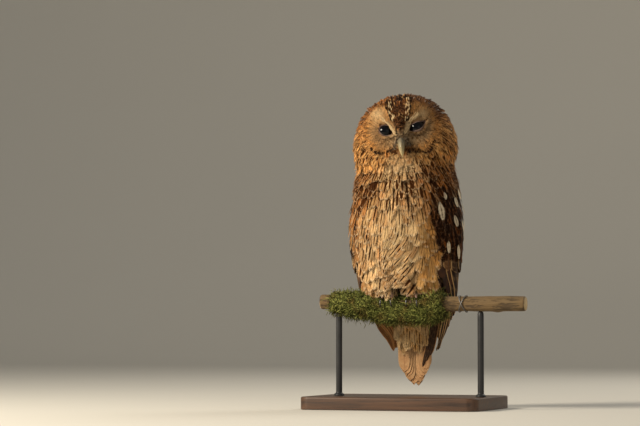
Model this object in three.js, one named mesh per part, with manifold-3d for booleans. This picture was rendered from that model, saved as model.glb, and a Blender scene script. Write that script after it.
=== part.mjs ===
// A tawny owl standing on a moss-wrapped branch, held by a plain display stand.
// Millimetres, +Z up. The owl's body faces -Y and its left side is +X.
// The origin is the centre of the underside of the stand's base.
import * as THREE from "three";
import { mergeVertices } from "three/addons/utils/BufferGeometryUtils.js";
import Module from "manifold-3d";

const wasm = await Module();
wasm.setup();

const GAP = 0.3; // between neighbouring pieces
const SLACK = 0.03; // how far a cut piece's faces may move when its smallest ones are merged
const RAD = Math.PI / 180;

// The stand and the perch.
const BASE = { length: 236, width: 156, height: 16, corner: 14, bevel: 2 };
const ROD = { radius: 4, left: 106, right: -84, buried: 2 };
const PERCH = { y: -16, z: 134, radius: 10, start: -108, end: 165, bow: 3 };
const MOSS = { start: -98, end: 63, above: 6, below: 18, around: 9, pressed: 2.2 };

// Every shape is made about the perch's axis: heights count up from it, and depths from it towards the tail.
const TRUNK = {
  centre: [0, 23, 95],
  side: 72,
  front: 60,
  back: 57,
  up: 128,
  down: 79,
  power: 2.6,
  lean: -0.1,
};
const HEAD = { centre: [0, 20, 200], side: 67, front: 55, back: 57, up: 70, down: 48, power: 2.12 };
const CUTS = { slope: 0.22, neck: 155, head: 169 }; // the two planes that part the body, at the perch's depth
const HEAD_TURN = { yaw: 13 * RAD, roll: -6 * RAD, pitch: 3 * RAD }; // about the head's centre

// The face, in the head's own frame: X to the owl's left, Z up, from the head's centre.
const EYE = { out: 20.5, up: 24, radius: 10.5, depth: 46.5, splay: 16 * RAD };
const DISC = { out: 23, up: 19, wide: 37, high: 35, bowl: 5, rim: 2.6, rimWidth: 0.13 };
const BROW = { half: 6.5, rise: 1.5, low: -4, high: 44 };
const BILL = { top: 14, length: 25, width: 9.5, depth: 13, root: 53 };

const LEG = { out: 15, shift: 2, top: 52, foot: 15, topRadius: 18, footRadius: 8.5, topBack: 20, footBack: 4 };
const TOE = { radius: 3.6, lift: 6.2, palm: [8, 6.5, 4.5], claw: 13, clawRadius: 1.9 };

// The folded wing: at each height, the half-width and half-depth of the body's outline, its centre's depth,
// the angles of the wing's front and back edges round it, counted from the breast, and the wing's thickness.
const WING = [
  { name: "shoulder", z: 154, wide: 62, deep: 50, y: 22, front: 62, back: 112, thick: 5 },
  { name: "wrist", z: 122, wide: 75, deep: 61, y: 23, front: 47, back: 150, thick: 9 },
  { name: "elbow", z: 82, wide: 76.5, deep: 62, y: 24, front: 42, back: 163, thick: 9 },
  { name: "flank", z: 42, wide: 72, deep: 55, y: 28, front: 41, back: 163, thick: 7 },
  { name: "rump", z: 15, wide: 66.5, deep: 45, y: 34, front: 52, back: 160, thick: 5 },
  { name: "perch", z: -9, wide: 58, deep: 31, y: 42, front: 68, back: 154, thick: 4 },
  { name: "primaries", z: -37, wide: 46, deep: 20, y: 49, front: 70, back: 148, thick: 3 },
  { name: "tip", z: -60, wide: 32, deep: 13, y: 54, front: 76, back: 132, thick: 2 },
];
// The primaries below it, from the front one: each starts and ends higher than the last, and lies a little deeper.
// Its width, and the spacing of their front edges, are shares of the wing's own width.
const PRIMARIES = {
  count: 4,
  top: 6,
  rise: 3,
  longest: -61,
  step: 13,
  spacing: 0.195,
  share: 0.46,
  thick: 2.4,
  lift: 0.3,
  tuck: 0.5,
};

// The tail: pairs of feathers, the outer ones shorter and lying in front of the inner ones.
const TAIL = {
  pairs: 5,
  root: 16,
  rootY: 47,
  tip: -108,
  tipY: 60,
  step: 6.5,
  first: 3.2,
  spread: 4.6,
  width: 17,
  narrow: 0.72,
  thick: 1.8,
  layer: 1.15,
  cup: 0.0035,
};
const COVERTS = { centre: [0, 45, -4], side: 25, front: 11, back: 11, up: 34, down: 40, power: 2, lean: -0.06 };

// Moves each vertex so that every face round it moves out by about grow: a least-squares step over their normals.
function swell(geometry, grow) {
  const { position } = geometry.attributes;
  const faces = geometry.index.array;
  const sums = Array.from({ length: position.count }, () => ({ square: new Float32Array(9), line: [0, 0, 0] }));
  const corners = [new THREE.Vector3(), new THREE.Vector3(), new THREE.Vector3()];
  for (let i = 0; i < faces.length; i += 3) {
    corners.forEach((corner, j) => corner.fromBufferAttribute(position, faces[i + j]));
    const normal = new THREE.Triangle(...corners).getNormal(new THREE.Vector3()).toArray();
    for (const vertex of faces.slice(i, i + 3))
      for (let row = 0; row < 3; row++) {
        sums[vertex].line[row] += grow * normal[row];
        for (let column = 0; column < 3; column++)
          sums[vertex].square[3 * row + column] += normal[row] * normal[column];
      }
  }
  sums.forEach(({ square, line }, i) => {
    const damping = 0.02 * (square[0] + square[4] + square[8]);
    for (const diagonal of [0, 4, 8]) square[diagonal] += damping;
    const step = new THREE.Vector3(...line).applyMatrix3(new THREE.Matrix3().set(...square).invert());
    position.setXYZ(i, position.getX(i) + step.x, position.getY(i) + step.y, position.getZ(i) + step.z);
  });
}

// A closed geometry as a solid, turned to face outwards and grown by a margin on every side.
function solid(geometry, grow = 0) {
  const bare = geometry.clone();
  bare.deleteAttribute("normal");
  bare.deleteAttribute("uv");
  const merged = mergeVertices(bare, 1e-4);
  const build = () =>
    new wasm.Manifold(
      new wasm.Mesh({
        numProp: 3,
        vertProperties: merged.attributes.position.array,
        triVerts: new Uint32Array(merged.index.array),
      }),
    );
  if (build().volume() < 0) {
    const faces = merged.index.array;
    for (let i = 0; i < faces.length; i += 3) [faces[i], faces[i + 1]] = [faces[i + 1], faces[i]];
  }
  if (grow) swell(merged, grow);
  return build();
}

// A sphere's vertices moved by place(along, turn): along runs from 0 to 1 between the poles, turn goes once round.
function shell(rings, sides, place) {
  const geometry = new THREE.SphereGeometry(1, sides, rings);
  const uv = geometry.getAttribute("uv");
  const position = geometry.getAttribute("position");
  for (let i = 0; i < position.count; i++) {
    const turn = 2 * Math.PI * (uv.getX(i) % 1);
    const p = place(1 - uv.getY(i), turn);
    position.setXYZ(i, p.x, p.y, p.z);
  }
  return geometry;
}

const signedPower = (value, power) => Math.sign(value) * Math.abs(value) ** power;

// How bluntly each kind of swept shape ends: the lower, the blunter.
const BLUNT = { limb: 0.3, wing: 0.4, flight: 0.7, tail: 0.55, moss: 0.28 };

// How full a swept shape is along its length: 0 at both poles, 1 half way.
const fullAt = (along, power) => (along <= 0 || along >= 1 ? 0 : Math.sin(Math.PI * along) ** power);

// Seen from above, an egg is a little squarer than an ellipse, for which this would be 1.
const PLAN_ROUNDING = 0.94;

// An egg with its own half-size each way, as a function of the two angles. lean shifts its lower half in depth.
function eggPoint(form, along, turn) {
  const round = 2 / form.power;
  const height = signedPower(Math.cos(Math.PI * along), round);
  const reach = fullAt(along, round);
  const across = reach * signedPower(Math.sin(turn), PLAN_ROUNDING);
  const ahead = reach * signedPower(Math.cos(turn), PLAN_ROUNDING);
  const x = across * form.side;
  const y = -ahead * (ahead > 0 ? form.front : form.back);
  const z = height * (height > 0 ? form.up : form.down);
  const [cx, cy, cz] = form.centre;
  return new THREE.Vector3(cx + x, cy + y + (form.lean ?? 0) * Math.min(z, 0), cz + z);
}

const egg = (form, rings, sides, grow) =>
  solid(shell(rings, sides, (along, turn) => eggPoint(form, along, turn)), grow);

// A round limb swept along a curve, closed and rounded at both ends.
function limb(curve, radiusAt, rings, sides) {
  return shell(rings, sides, (along, turn) => {
    const tangent = curve.getTangent(along);
    const side = new THREE.Vector3(1, 0, 0);
    side.addScaledVector(tangent, -side.dot(tangent)).normalize();
    const up = new THREE.Vector3().crossVectors(tangent, side);
    const radius = radiusAt(along) * fullAt(along, BLUNT.limb);
    return curve
      .getPoint(along)
      .addScaledVector(side, radius * Math.cos(turn))
      .addScaledVector(up, radius * Math.sin(turn));
  });
}

// The value at height z of one of the wing's measures, smoothly between its stations.
function wingMeasure(name, z) {
  const top = WING[0].z;
  const tip = WING[WING.length - 1].z;
  const height = Math.min(top, Math.max(tip, z));
  let i = 0;
  while (i < WING.length - 2 && height < WING[i + 1].z) i++;
  const before = WING[Math.max(i - 1, 0)][name];
  const after = WING[Math.min(i + 2, WING.length - 1)][name];
  const [from, to] = [WING[i][name], WING[i + 1][name]];
  const t = (WING[i].z - height) / (WING[i].z - WING[i + 1].z);
  const slope = to - before;
  const curve = 2 * before - 5 * from + 4 * to - after;
  const twist = 3 * (from - to) + after - before;
  return from + 0.5 * t * (slope + t * (curve + t * twist));
}

// A curved panel of the folded wing between two heights and two edges, given as shares from front to back.
function wingPanel(side, panel, rings, sides) {
  return shell(rings, sides, (along, turn) => {
    const ease = 0.5 - 0.5 * Math.cos(Math.PI * along);
    const z = panel.top + (panel.bottom - panel.top) * ease;
    const frontEdge = wingMeasure("front", z);
    const backEdge = wingMeasure("back", z);
    const fullness = fullAt(along, panel.blunt);
    const middle = (panel.from + panel.to) / 2;
    const half = ((panel.to - panel.from) / 2) * (backEdge - frontEdge) * fullness;
    const angle = (frontEdge + (backEdge - frontEdge) * middle - half * Math.cos(turn)) * RAD;
    const thick = (panel.thick ?? wingMeasure("thick", z)) / 2;
    const offset = panel.lift - thick + thick * Math.sin(turn) * fullness;
    const wide = wingMeasure("wide", z) + offset;
    const deep = wingMeasure("deep", z) + offset;
    return new THREE.Vector3(side * wide * Math.sin(angle), wingMeasure("y", z) - deep * Math.cos(angle), z);
  });
}

function wing(side, grow = 0) {
  const main = { top: WING[0].z, bottom: WING[6].z, from: 0, to: 1, lift: 0, blunt: BLUNT.wing };
  let made = solid(wingPanel(side, main, 11, 10), grow);
  for (let i = 0; i < PRIMARIES.count; i++) {
    const { top, rise, longest, step, spacing, share, thick, lift, tuck } = PRIMARIES;
    const from = spacing * i;
    const feather = {
      top: top + rise * i,
      bottom: longest + step * i,
      from,
      to: from + share,
      lift: lift - tuck * i,
      thick,
      blunt: BLUNT.flight,
    };
    made = made.add(solid(wingPanel(side, feather, 5, 6), grow));
  }
  return made;
}

// One flat tail feather with a round tip, from its root to its tip.
function tailFeather(pair, side) {
  const { root, rootY, tip, tipY, step, first, spread, width, narrow, thick, layer, cup } = TAIL;
  const end = tip + step * pair;
  const lean = (tipY - rootY) / (root - tip);
  return shell(5, 6, (along, turn) => {
    const ease = 0.5 - 0.5 * Math.cos(Math.PI * along);
    const z = root + (end - root) * ease;
    const fullness = fullAt(along, BLUNT.tail);
    const fanned = narrow + (1 - narrow) * ease;
    const x = side * (first + spread * pair * fanned) + (width / 2) * fanned * fullness * Math.cos(turn);
    const y = rootY + lean * (root - z) - layer * pair + (thick / 2) * fullness * Math.sin(turn);
    return new THREE.Vector3(x, y + cup * x * x, z);
  });
}

function tail(grow = 0) {
  let made = egg(COVERTS, 6, 10, grow);
  for (let pair = 0; pair < TAIL.pairs; pair++)
    for (const side of [-1, 1]) made = made.add(solid(tailFeather(pair, side), grow));
  return made;
}

// The head's own frame, turned about its centre, as a matrix over the owl's frame.
const headPose = new THREE.Matrix4()
  .makeTranslation(...HEAD.centre)
  .multiply(
    new THREE.Matrix4().makeRotationFromEuler(
      new THREE.Euler(HEAD_TURN.pitch, HEAD_TURN.roll, HEAD_TURN.yaw, "ZYX"),
    ),
  );
const HEAD_LOCAL = { ...HEAD, centre: [0, 0, 0] };

const bump = (value, width) => Math.exp(-((value / width) ** 2));
const smoothStep = (value, low, high) => THREE.MathUtils.smoothstep(value, low, high);

// How far the face stands out from the plain egg at a point of its front: two shallow dishes round the eyes,
// a raised rim, and the feathered ridge between the eyes.
function faceRelief(x, z) {
  const side = Math.sign(x) || 1;
  const q = Math.hypot((x - side * DISC.out) / DISC.wide, (z - DISC.up) / DISC.high);
  const dish = -DISC.bowl * (1 - smoothStep(q, 0.25, 0.95));
  const rim = DISC.rim * bump(q - 1.02, DISC.rimWidth);
  const inHeight = smoothStep(z, BROW.low - 8, BROW.low + 8) * (1 - smoothStep(z, BROW.high - 14, BROW.high));
  const ridge = (BROW.rise + DISC.bowl) * bump(x, BROW.half) * inHeight;
  return dish + rim * (1 - bump(x, 9)) + ridge;
}

function headShape(grow = 0) {
  const geometry = shell(20, 32, (along, turn) => {
    const p = eggPoint(HEAD_LOCAL, along, turn);
    const ahead = smoothStep(-p.y, 0.28 * HEAD.front, 0.62 * HEAD.front);
    const flat = 0.12 * Math.max(0, -p.y - 0.8 * HEAD.front); // the face is flatter than the egg
    p.y -= ahead * faceRelief(p.x, p.z) - flat;
    return p;
  });
  return solid(geometry.applyMatrix4(headPose), grow);
}

// A point of the head's own frame for the left (+1) or right (-1) eye, and the eye's looking direction.
const eyeCentre = (side) => new THREE.Vector3(side * EYE.out, -EYE.depth + EYE.radius, EYE.up);

function eye(side, grow = 0) {
  const geometry = new THREE.SphereGeometry(EYE.radius, 12, 8);
  geometry.scale(1, 0.92, 1);
  geometry.rotateZ(side * EYE.splay);
  geometry.translate(...eyeCentre(side).toArray());
  return solid(geometry.applyMatrix4(headPose), grow);
}

// The upper half of the bill: a hooked cone that curves down over its length.
function upperBill(grow = 0) {
  const curve = new THREE.CatmullRomCurve3([
    new THREE.Vector3(0, -BILL.root + 6, BILL.top - 3),
    new THREE.Vector3(0, -BILL.root - 0.55 * BILL.depth, BILL.top - 3.5),
    new THREE.Vector3(0, -BILL.root - 0.86 * BILL.depth, BILL.top - 0.45 * BILL.length),
    new THREE.Vector3(0, -BILL.root - 0.62 * BILL.depth, BILL.top - BILL.length),
  ]);
  const radius = (along) => (BILL.width / 2) * (1 - 0.86 * smoothStep(along, 0.3, 1));
  return solid(limb(curve, radius, 8, 8).applyMatrix4(headPose), grow);
}

function lowerBill(grow = 0) {
  const curve = new THREE.CatmullRomCurve3([
    new THREE.Vector3(0, -BILL.root + 8, BILL.top - 16),
    new THREE.Vector3(0, -BILL.root - 2, BILL.top - 18),
    new THREE.Vector3(0, -BILL.root - 0.5 * BILL.depth, BILL.top - 22),
  ]);
  const radius = (along) => 3 * (1 - 0.55 * along);
  return solid(limb(curve, radius, 5, 6).applyMatrix4(headPose), grow);
}

// The feathered leg, from inside the belly down to the foot.
function leg(side, grow = 0) {
  const curve = new THREE.LineCurve3(
    new THREE.Vector3(LEG.shift + side * (LEG.out + 4), LEG.topBack, LEG.top),
    new THREE.Vector3(LEG.shift + side * LEG.out, LEG.footBack, LEG.foot),
  );
  const radius = (along) => LEG.topRadius + (LEG.footRadius - LEG.topRadius) * along;
  return solid(limb(curve, radius, 5, 10), grow);
}

// The toes: two in front and two behind, each bent round the perch. spread is how far along the perch each ends.
const TOES = [
  { name: "inner_front", ahead: 1, from: -2, spread: -4.5, reach: 66 },
  { name: "outer_front", ahead: 1, from: 3, spread: 9, reach: 68 },
  { name: "inner_back", ahead: -1, from: -2, spread: -6, reach: 52 },
  { name: "outer_back", ahead: -1, from: 3, spread: 11, reach: 56 },
];

// A point at an angle from the top of the perch, at a height above its bark.
const roundPerch = (x, angle, height, ahead) =>
  new THREE.Vector3(
    x,
    -ahead * (PERCH.radius + height) * Math.sin(angle * RAD),
    (PERCH.radius + height) * Math.cos(angle * RAD),
  );

const toeX = (side, spread) => LEG.shift + side * (LEG.out + spread);

function toeCurve(side, toe) {
  const points = [0, 0.4, 0.75, 1].map((share) =>
    roundPerch(toeX(side, toe.from + (toe.spread - toe.from) * share), toe.reach * share, TOE.lift, toe.ahead),
  );
  return new THREE.CatmullRomCurve3(points);
}

function foot(side, grow = 0) {
  const palm = new THREE.SphereGeometry(1, 8, 6);
  palm.scale(...TOE.palm);
  palm.translate(LEG.shift + side * LEG.out, 0, PERCH.radius + TOE.lift);
  let made = solid(palm, grow);
  for (const toe of TOES) {
    const pads = (along) => TOE.radius * (1 - 0.14 * along + 0.1 * Math.cos(4 * Math.PI * along));
    made = made.add(solid(limb(toeCurve(side, toe), pads, 6, 6), grow));
  }
  return made;
}

// A claw carries on from the end of its toe and curves in towards the perch.
function claw(side, toe, grow = 0) {
  const degrees = (length) => length / (PERCH.radius + TOE.lift) / RAD;
  const points = [-0.08, 0.35, 0.7, 1].map((share) =>
    roundPerch(
      toeX(side, toe.spread * (1 + 0.12 * Math.max(share, 0))),
      toe.reach + degrees(TOE.claw * share),
      TOE.lift + 1.6 * Math.sin(Math.PI * Math.max(share, 0)) - 2.4 * Math.max(share, 0) ** 2,
      toe.ahead,
    ),
  );
  const radius = (along) => TOE.clawRadius * (1 - 0.8 * along);
  return solid(limb(new THREE.CatmullRomCurve3(points), radius, 5, 5), grow);
}

// The branch: a slightly bowed stick with two sawn ends and a few low swellings.
function perch(grow = 0) {
  const length = PERCH.end - PERCH.start;
  const geometry = new THREE.CylinderGeometry(1, 1, length, 10, 7);
  geometry.rotateZ(-Math.PI / 2);
  geometry.translate((PERCH.start + PERCH.end) / 2, 0, 0);
  const position = geometry.getAttribute("position");
  for (let i = 0; i < position.count; i++) {
    const x = position.getX(i);
    const radius = PERCH.radius * (1 + 0.03 * Math.sin(x / 17) + 0.02 * Math.sin(x / 7.3));
    position.setXYZ(i, x, position.getY(i) * radius, position.getZ(i) * radius + perchBow(x));
  }
  return solid(geometry, grow);
}

// The branch is level under the feet and rises gently towards its start.
const perchBow = (x) => PERCH.bow * (1 - smoothStep(x, PERCH.start, PERCH.start + 98));

// The sleeve of moss round the branch, thicker below, with a lumpy outline.
function moss(grow = 0) {
  const { start, end, above, below, around, pressed } = MOSS;
  const sleeve = shell(13, 12, (along, turn) => {
    const ease = 0.5 - 0.5 * Math.cos(Math.PI * along);
    const x = start + (end - start) * ease;
    const up = Math.sin(turn);
    const heavier = 0.55 + 0.45 * smoothStep(x, start, end / 2);
    const lump = 1 + 0.05 * Math.sin(x / 9 + 2 * turn) + 0.04 * Math.sin(x / 5 - turn);
    const padding = (up > 0 ? above : below * heavier) * lump * Math.abs(up) + around * (1 - Math.abs(up));
    const trodden = (1 - smoothStep(Math.abs(x), 30, 44)) * smoothStep(up, -0.75, -0.3);
    const radius = (PERCH.radius + padding + (pressed - padding) * trodden) * fullAt(along, BLUNT.moss);
    return new THREE.Vector3(x, radius * Math.cos(turn), radius * up + perchBow(x));
  });
  return solid(sleeve, grow);
}

// The base: a rectangular board with round corners and an eased edge.
function standBase() {
  const { length, width, height, corner, bevel } = BASE;
  const [x, y] = [length / 2 - bevel, width / 2 - bevel];
  const outline = new THREE.Shape();
  outline.moveTo(-x + corner, -y);
  outline.lineTo(x - corner, -y);
  outline.absarc(x - corner, -y + corner, corner, -Math.PI / 2, 0);
  outline.absarc(x - corner, y - corner, corner, 0, Math.PI / 2);
  outline.absarc(-x + corner, y - corner, corner, Math.PI / 2, Math.PI);
  outline.absarc(-x + corner, -y + corner, corner, Math.PI, 1.5 * Math.PI);
  const board = new THREE.ExtrudeGeometry(outline, {
    depth: height - 2 * bevel,
    bevelThickness: bevel,
    bevelSize: bevel,
    bevelSegments: 1,
    curveSegments: 3,
  });
  board.translate(0, -PERCH.y, bevel - PERCH.z);
  return solid(board);
}

// A rod runs from the base into the branch's underside.
function standRod(x, grow = 0) {
  const bottom = BASE.height + GAP - PERCH.z;
  const top = ROD.buried;
  const geometry = new THREE.CylinderGeometry(ROD.radius, ROD.radius, top - bottom, 16);
  geometry.rotateX(Math.PI / 2);
  geometry.translate(x, 0, (top + bottom) / 2);
  return solid(geometry, grow);
}

const materials = {
  plumage: { color: 0xa9743f, roughness: 0.85 },
  dark_plumage: { color: 0x5a3a22, roughness: 0.8 },
  skin: { color: 0xb89a84, roughness: 0.6 },
  bill_horn: { color: 0xcfc08a, roughness: 0.4 },
  claw_horn: { color: 0x3a342e, roughness: 0.35 },
  eye: { color: 0x0c0c12, roughness: 0.08 },
  bark: { color: 0x7a6248, roughness: 0.8 },
  moss: { color: 0x56682c, roughness: 0.95 },
  stand_wood: { color: 0x4a3424, roughness: 0.5 },
  stand_metal: { color: 0x2c2c2e, roughness: 0.4, metalness: 0.9 },
};

const owl = new THREE.Group();

// A solid, made about the perch's axis, as a named mesh of the group that stands in the part's own frame.
function piece(name, finish, shape) {
  const { vertProperties, triVerts, numProp } = shape.translate([0, PERCH.y, PERCH.z]).getMesh();
  const position = new Float32Array((vertProperties.length / numProp) * 3);
  for (let i = 0; i < position.length / 3; i++)
    position.set(vertProperties.subarray(i * numProp, i * numProp + 3), 3 * i);
  const geometry = new THREE.BufferGeometry();
  geometry.setAttribute("position", new THREE.BufferAttribute(position, 3));
  geometry.setIndex(new THREE.BufferAttribute(triVerts, 1));
  geometry.computeVertexNormals();
  const mesh = new THREE.Mesh(geometry, new THREE.MeshStandardMaterial(materials[finish]));
  mesh.name = name;
  owl.add(mesh);
}

// The body from the crown to the belly, whole.
const body = (grow = 0) => egg(TRUNK, 15, 26, grow).add(headShape(grow));

// What lies above one of the planes that part the body.
const above = (shape, height) => shape.trimByPlane([0, -CUTS.slope, 1], height / Math.hypot(1, CUTS.slope));

// The pieces in the order in which they take their room: each one is cut back, with a gap, round those before it.
const SIDES = { left: 1, right: -1 };
const bothSides = (name, toe, finish, make) =>
  Object.entries(SIDES).map(([word, side]) => [
    [name, word, toe].filter(Boolean).join("_"),
    finish,
    (grow) => make(side, grow),
  ]);

const PIECES = [
  ["perch_branch", "bark", perch],
  ["stand_rod_left", "stand_metal", (grow) => standRod(ROD.left, grow)],
  ["stand_rod_right", "stand_metal", (grow) => standRod(ROD.right, grow)],
  ...TOES.flatMap((toe) => bothSides("claw", toe.name, "claw_horn", (side, grow) => claw(side, toe, grow))),
  ...bothSides("foot", "", "skin", foot),
  ["perch_moss", "moss", moss],
  ...bothSides("leg", "", "plumage", leg),
  ["bill_lower", "bill_horn", lowerBill],
  ["bill_upper", "bill_horn", upperBill],
  ...bothSides("eye", "", "eye", eye),
  ...bothSides("wing", "", "dark_plumage", wing),
  ["head", "plumage", (grow) => above(body(grow), CUTS.head - grow)],
  ["neck", "plumage", (grow) => above(body(grow), CUTS.neck - grow)],
  ["trunk", "plumage", body],
  ["tail", "plumage", tail],
];

// Only the largest body of a shape, without slivers that a cut has left loose.
const largest = (shape) =>
  shape.decompose().reduce((best, body) => (body.volume() > best.volume() ? body : best));

let taken = standBase();
piece("stand_base", "stand_wood", taken);
for (const [name, finish, make] of PIECES) {
  piece(name, finish, largest(make(0).subtract(taken)).simplify(SLACK));
  taken = taken.add(make(GAP));
}

export default owl;
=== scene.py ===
"""A life-size tawny owl gripping a mossy branch on a plain stand.

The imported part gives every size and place. Each class below builds one sub-assembly round its nodes.
Lengths are in metres, and the owl's body faces -Y with its left side at +X.
"""

import logging
import math
from contextlib import contextmanager
from dataclasses import InitVar, dataclass, field
from enum import Enum
from typing import Callable, Iterator, Sequence

import bpy
import numpy as np
from mathutils import Euler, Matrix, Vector
from mathutils.bvhtree import BVHTree


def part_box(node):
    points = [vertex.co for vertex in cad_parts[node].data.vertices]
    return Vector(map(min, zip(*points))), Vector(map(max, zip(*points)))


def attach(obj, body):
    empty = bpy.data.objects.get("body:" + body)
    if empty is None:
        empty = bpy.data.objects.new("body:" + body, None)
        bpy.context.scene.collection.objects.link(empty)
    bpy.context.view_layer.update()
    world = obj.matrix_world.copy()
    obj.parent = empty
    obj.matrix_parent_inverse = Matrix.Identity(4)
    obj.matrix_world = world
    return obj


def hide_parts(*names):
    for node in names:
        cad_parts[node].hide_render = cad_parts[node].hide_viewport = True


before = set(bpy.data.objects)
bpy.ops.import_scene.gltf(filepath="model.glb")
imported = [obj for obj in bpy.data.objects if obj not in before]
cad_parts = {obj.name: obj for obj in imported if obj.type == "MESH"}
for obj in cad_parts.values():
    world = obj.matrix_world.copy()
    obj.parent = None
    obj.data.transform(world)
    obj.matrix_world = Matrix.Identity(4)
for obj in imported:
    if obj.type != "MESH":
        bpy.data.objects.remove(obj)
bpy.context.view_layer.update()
LOG = logging.getLogger("owl")

MM = 0.001
TAU = 2 * math.pi
SEED = 11
# The branch's axis under the owl's feet: its depth and its height.
PERCH_DEPTH, PERCH_HEIGHT = -16 * MM, 134 * MM
Item = bpy.types.Object
Array = np.ndarray
Rng = np.random.Generator
Pair = tuple[float, float]
Colour = tuple[float, float, float]


# ---- small helpers


def rgb(red: float, green: float, blue: float) -> Colour:
    """Turns a display colour, 0 to 255, into the linear one that shaders use."""
    parts = (part / 255 for part in (red, green, blue))
    return tuple(c / 12.92 if c <= 0.04045 else ((c + 0.055) / 1.055) ** 2.4 for c in parts)


def step(value: Array, low: float, high: float) -> Array:
    """Eases from 0 at low to 1 at high, which may also be the smaller of the two."""
    t = np.clip((np.asarray(value, float) - low) / (high - low), 0, 1)
    return t * t * (3 - 2 * t)


def blend(a: Array, b: Array, share: Array) -> Array:
    """Mixes two lists of vectors, or two vectors, by one share for each row."""
    return np.asarray(a) * (1 - share[:, None]) + np.asarray(b) * share[:, None]


def unit(vectors: Array) -> Array:
    """Scales vectors, in the last axis, to length 1."""
    return vectors / np.maximum(np.linalg.norm(vectors, axis=-1, keepdims=True), 1e-12)


def tangential(vectors: Array, normals: Array) -> Array:
    """Unit vectors along a surface, from any vectors and its normals."""
    return unit(vectors - normals * np.sum(vectors * normals, -1, keepdims=True))


def polyline(share: Array, table: Sequence[Sequence[float]]) -> Array:
    """Points at shares of a line's number of corners, from the line's corners as rows.

    Args:
        share: Shares of the way from the first corner to the last.
        table: The corners.

    Returns:
        One row for each share.
    """
    rows = np.array(table)
    spots = np.linspace(0, 1, len(rows))
    return np.stack([np.interp(share, spots, column) for column in rows.T], -1)


def ripple(points: Array, size: float, seed: int, waves: int = 7) -> Array:
    """Smooth uneven values from about -1 to 1 over space.

    Args:
        points: Where to find the values.
        size: How far apart its lumps are.
        seed: Which pattern.
        waves: How many waves make it up.

    Returns:
        One value for each point.
    """
    rng = np.random.default_rng(seed)
    total = np.zeros(len(points))
    for _ in range(waves):
        way = unit(rng.normal(size=3)) * TAU / (size * rng.uniform(0.7, 1.9))
        total += np.sin(points @ way + rng.uniform(0, TAU))
    return total / math.sqrt(waves)


def choose(*objects: Item) -> None:
    """Selects just these objects, in object mode, and makes the first one active.

    Args:
        *objects: The objects.
    """
    if bpy.context.object and bpy.context.object.mode != "OBJECT":
        bpy.ops.object.mode_set(mode="OBJECT")
    bpy.ops.object.select_all(action="DESELECT")
    for item in objects:
        item.select_set(True)
    if objects:
        bpy.context.view_layer.objects.active = objects[0]


@contextmanager
def editing(item: Item) -> Iterator[None]:
    """Edit mode on one object, with all of it selected."""
    choose(item)
    bpy.ops.object.mode_set(mode="EDIT")
    bpy.ops.mesh.select_all(action="SELECT")
    yield
    bpy.ops.object.mode_set(mode="OBJECT")


@contextmanager
def editing_edges(item: Item, chosen: Callable[[Vector, Vector], bool]) -> Iterator[None]:
    """Edit mode on one object, with just the edges selected whose two ends pass a test.

    Args:
        item: The object.
        chosen: The test.
    """
    with editing(item):
        bpy.ops.mesh.select_mode(type="EDGE")
        bpy.ops.mesh.select_all(action="DESELECT")
    for edge in item.data.edges:
        edge.select = chosen(*(item.data.vertices[i].co for i in edge.vertices))
    bpy.ops.object.mode_set(mode="EDIT")
    yield
    bpy.ops.object.mode_set(mode="OBJECT")


def settle(item: Item, name: str) -> Item:
    """Names an object, puts its place, turn and size into its mesh and gives it back.

    Args:
        item: The object.
        name: Its name.

    Returns:
        The same object.
    """
    choose(item)
    bpy.ops.object.transform_apply(location=True, rotation=True, scale=True)
    item.name = item.data.name = name
    return item


def smooth(item: Item) -> None:
    """Shades an object smooth all over."""
    choose(item)
    bpy.ops.object.shade_smooth()


def joined(items: Sequence[Item], name: str) -> Item:
    """Makes several objects one, with a name.

    Args:
        items: The objects.
        name: The name.

    Returns:
        The one object.
    """
    choose(*items)
    bpy.ops.object.join()
    return settle(bpy.context.object, name)


def apply(item: Item, kind: str, **settings: object) -> None:
    """Adds a modifier to an object, sets it and applies it.

    Args:
        item: The object.
        kind: The modifier's type.
        **settings: Its settings by name.
    """
    choose(item)
    modifier = item.modifiers.new(kind.title(), kind)
    for key, value in settings.items():
        setattr(modifier, key, value)
    bpy.ops.object.modifier_apply(modifier=modifier.name)


def subdivide(item: Item, **settings: object) -> None:
    """Subdivides an object once."""
    apply(item, "SUBSURF", levels=1, render_levels=1, **settings)


def reform(item: Item, voxel: float, rounds: int) -> None:
    """Makes an object one closed mesh of small even faces and smooths it, some rounds over."""
    apply(item, "REMESH", mode="VOXEL", voxel_size=voxel)
    apply(item, "SMOOTH", factor=0.5, iterations=rounds)


def link(name: str, data: bpy.types.ID) -> Item:
    """Makes an object of a mesh, a lamp or a camera, and puts it in the scene."""
    item = bpy.data.objects.new(name, data)
    bpy.context.scene.collection.objects.link(item)
    return item


def duplicate(node: str) -> Item:
    """Copies a CAD node with a mesh of its own, its loose triangles merged.

    Args:
        node: The node's name.

    Returns:
        The copy, unseen by the frame's checks.
    """
    copy = link(node + ".copy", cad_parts[node].data.copy())
    with editing(copy):
        bpy.ops.mesh.remove_doubles(threshold=1e-6)
    copy.data.materials.clear()
    return copy


def points_of(item: Item) -> Array:
    """The object's vertices as rows.

    Args:
        item: The object.

    Returns:
        One point for each vertex.
    """
    found = np.empty(len(item.data.vertices) * 3)
    item.data.vertices.foreach_get("co", found)
    return found.reshape(-1, 3)


def place_points(item: Item, points: Array) -> None:
    """Moves the object's vertices."""
    item.data.vertices.foreach_set("co", np.ascontiguousarray(points, float).ravel())
    item.data.update()


def normals_of(item: Item) -> Array:
    """The object's vertex normals as rows.

    Args:
        item: The object.

    Returns:
        One direction for each vertex.
    """
    found = np.empty(len(item.data.vertices) * 3, dtype=np.float32)
    item.data.vertex_normals.foreach_get("vector", found)
    return found.reshape(-1, 3).astype(float)


def fill(target: object, key: str, rows: Array, kind: type = np.float32) -> None:
    """Sets one property of all of a mesh's parts from an array."""
    target.foreach_set(key, np.ascontiguousarray(rows, kind).ravel())


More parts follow.
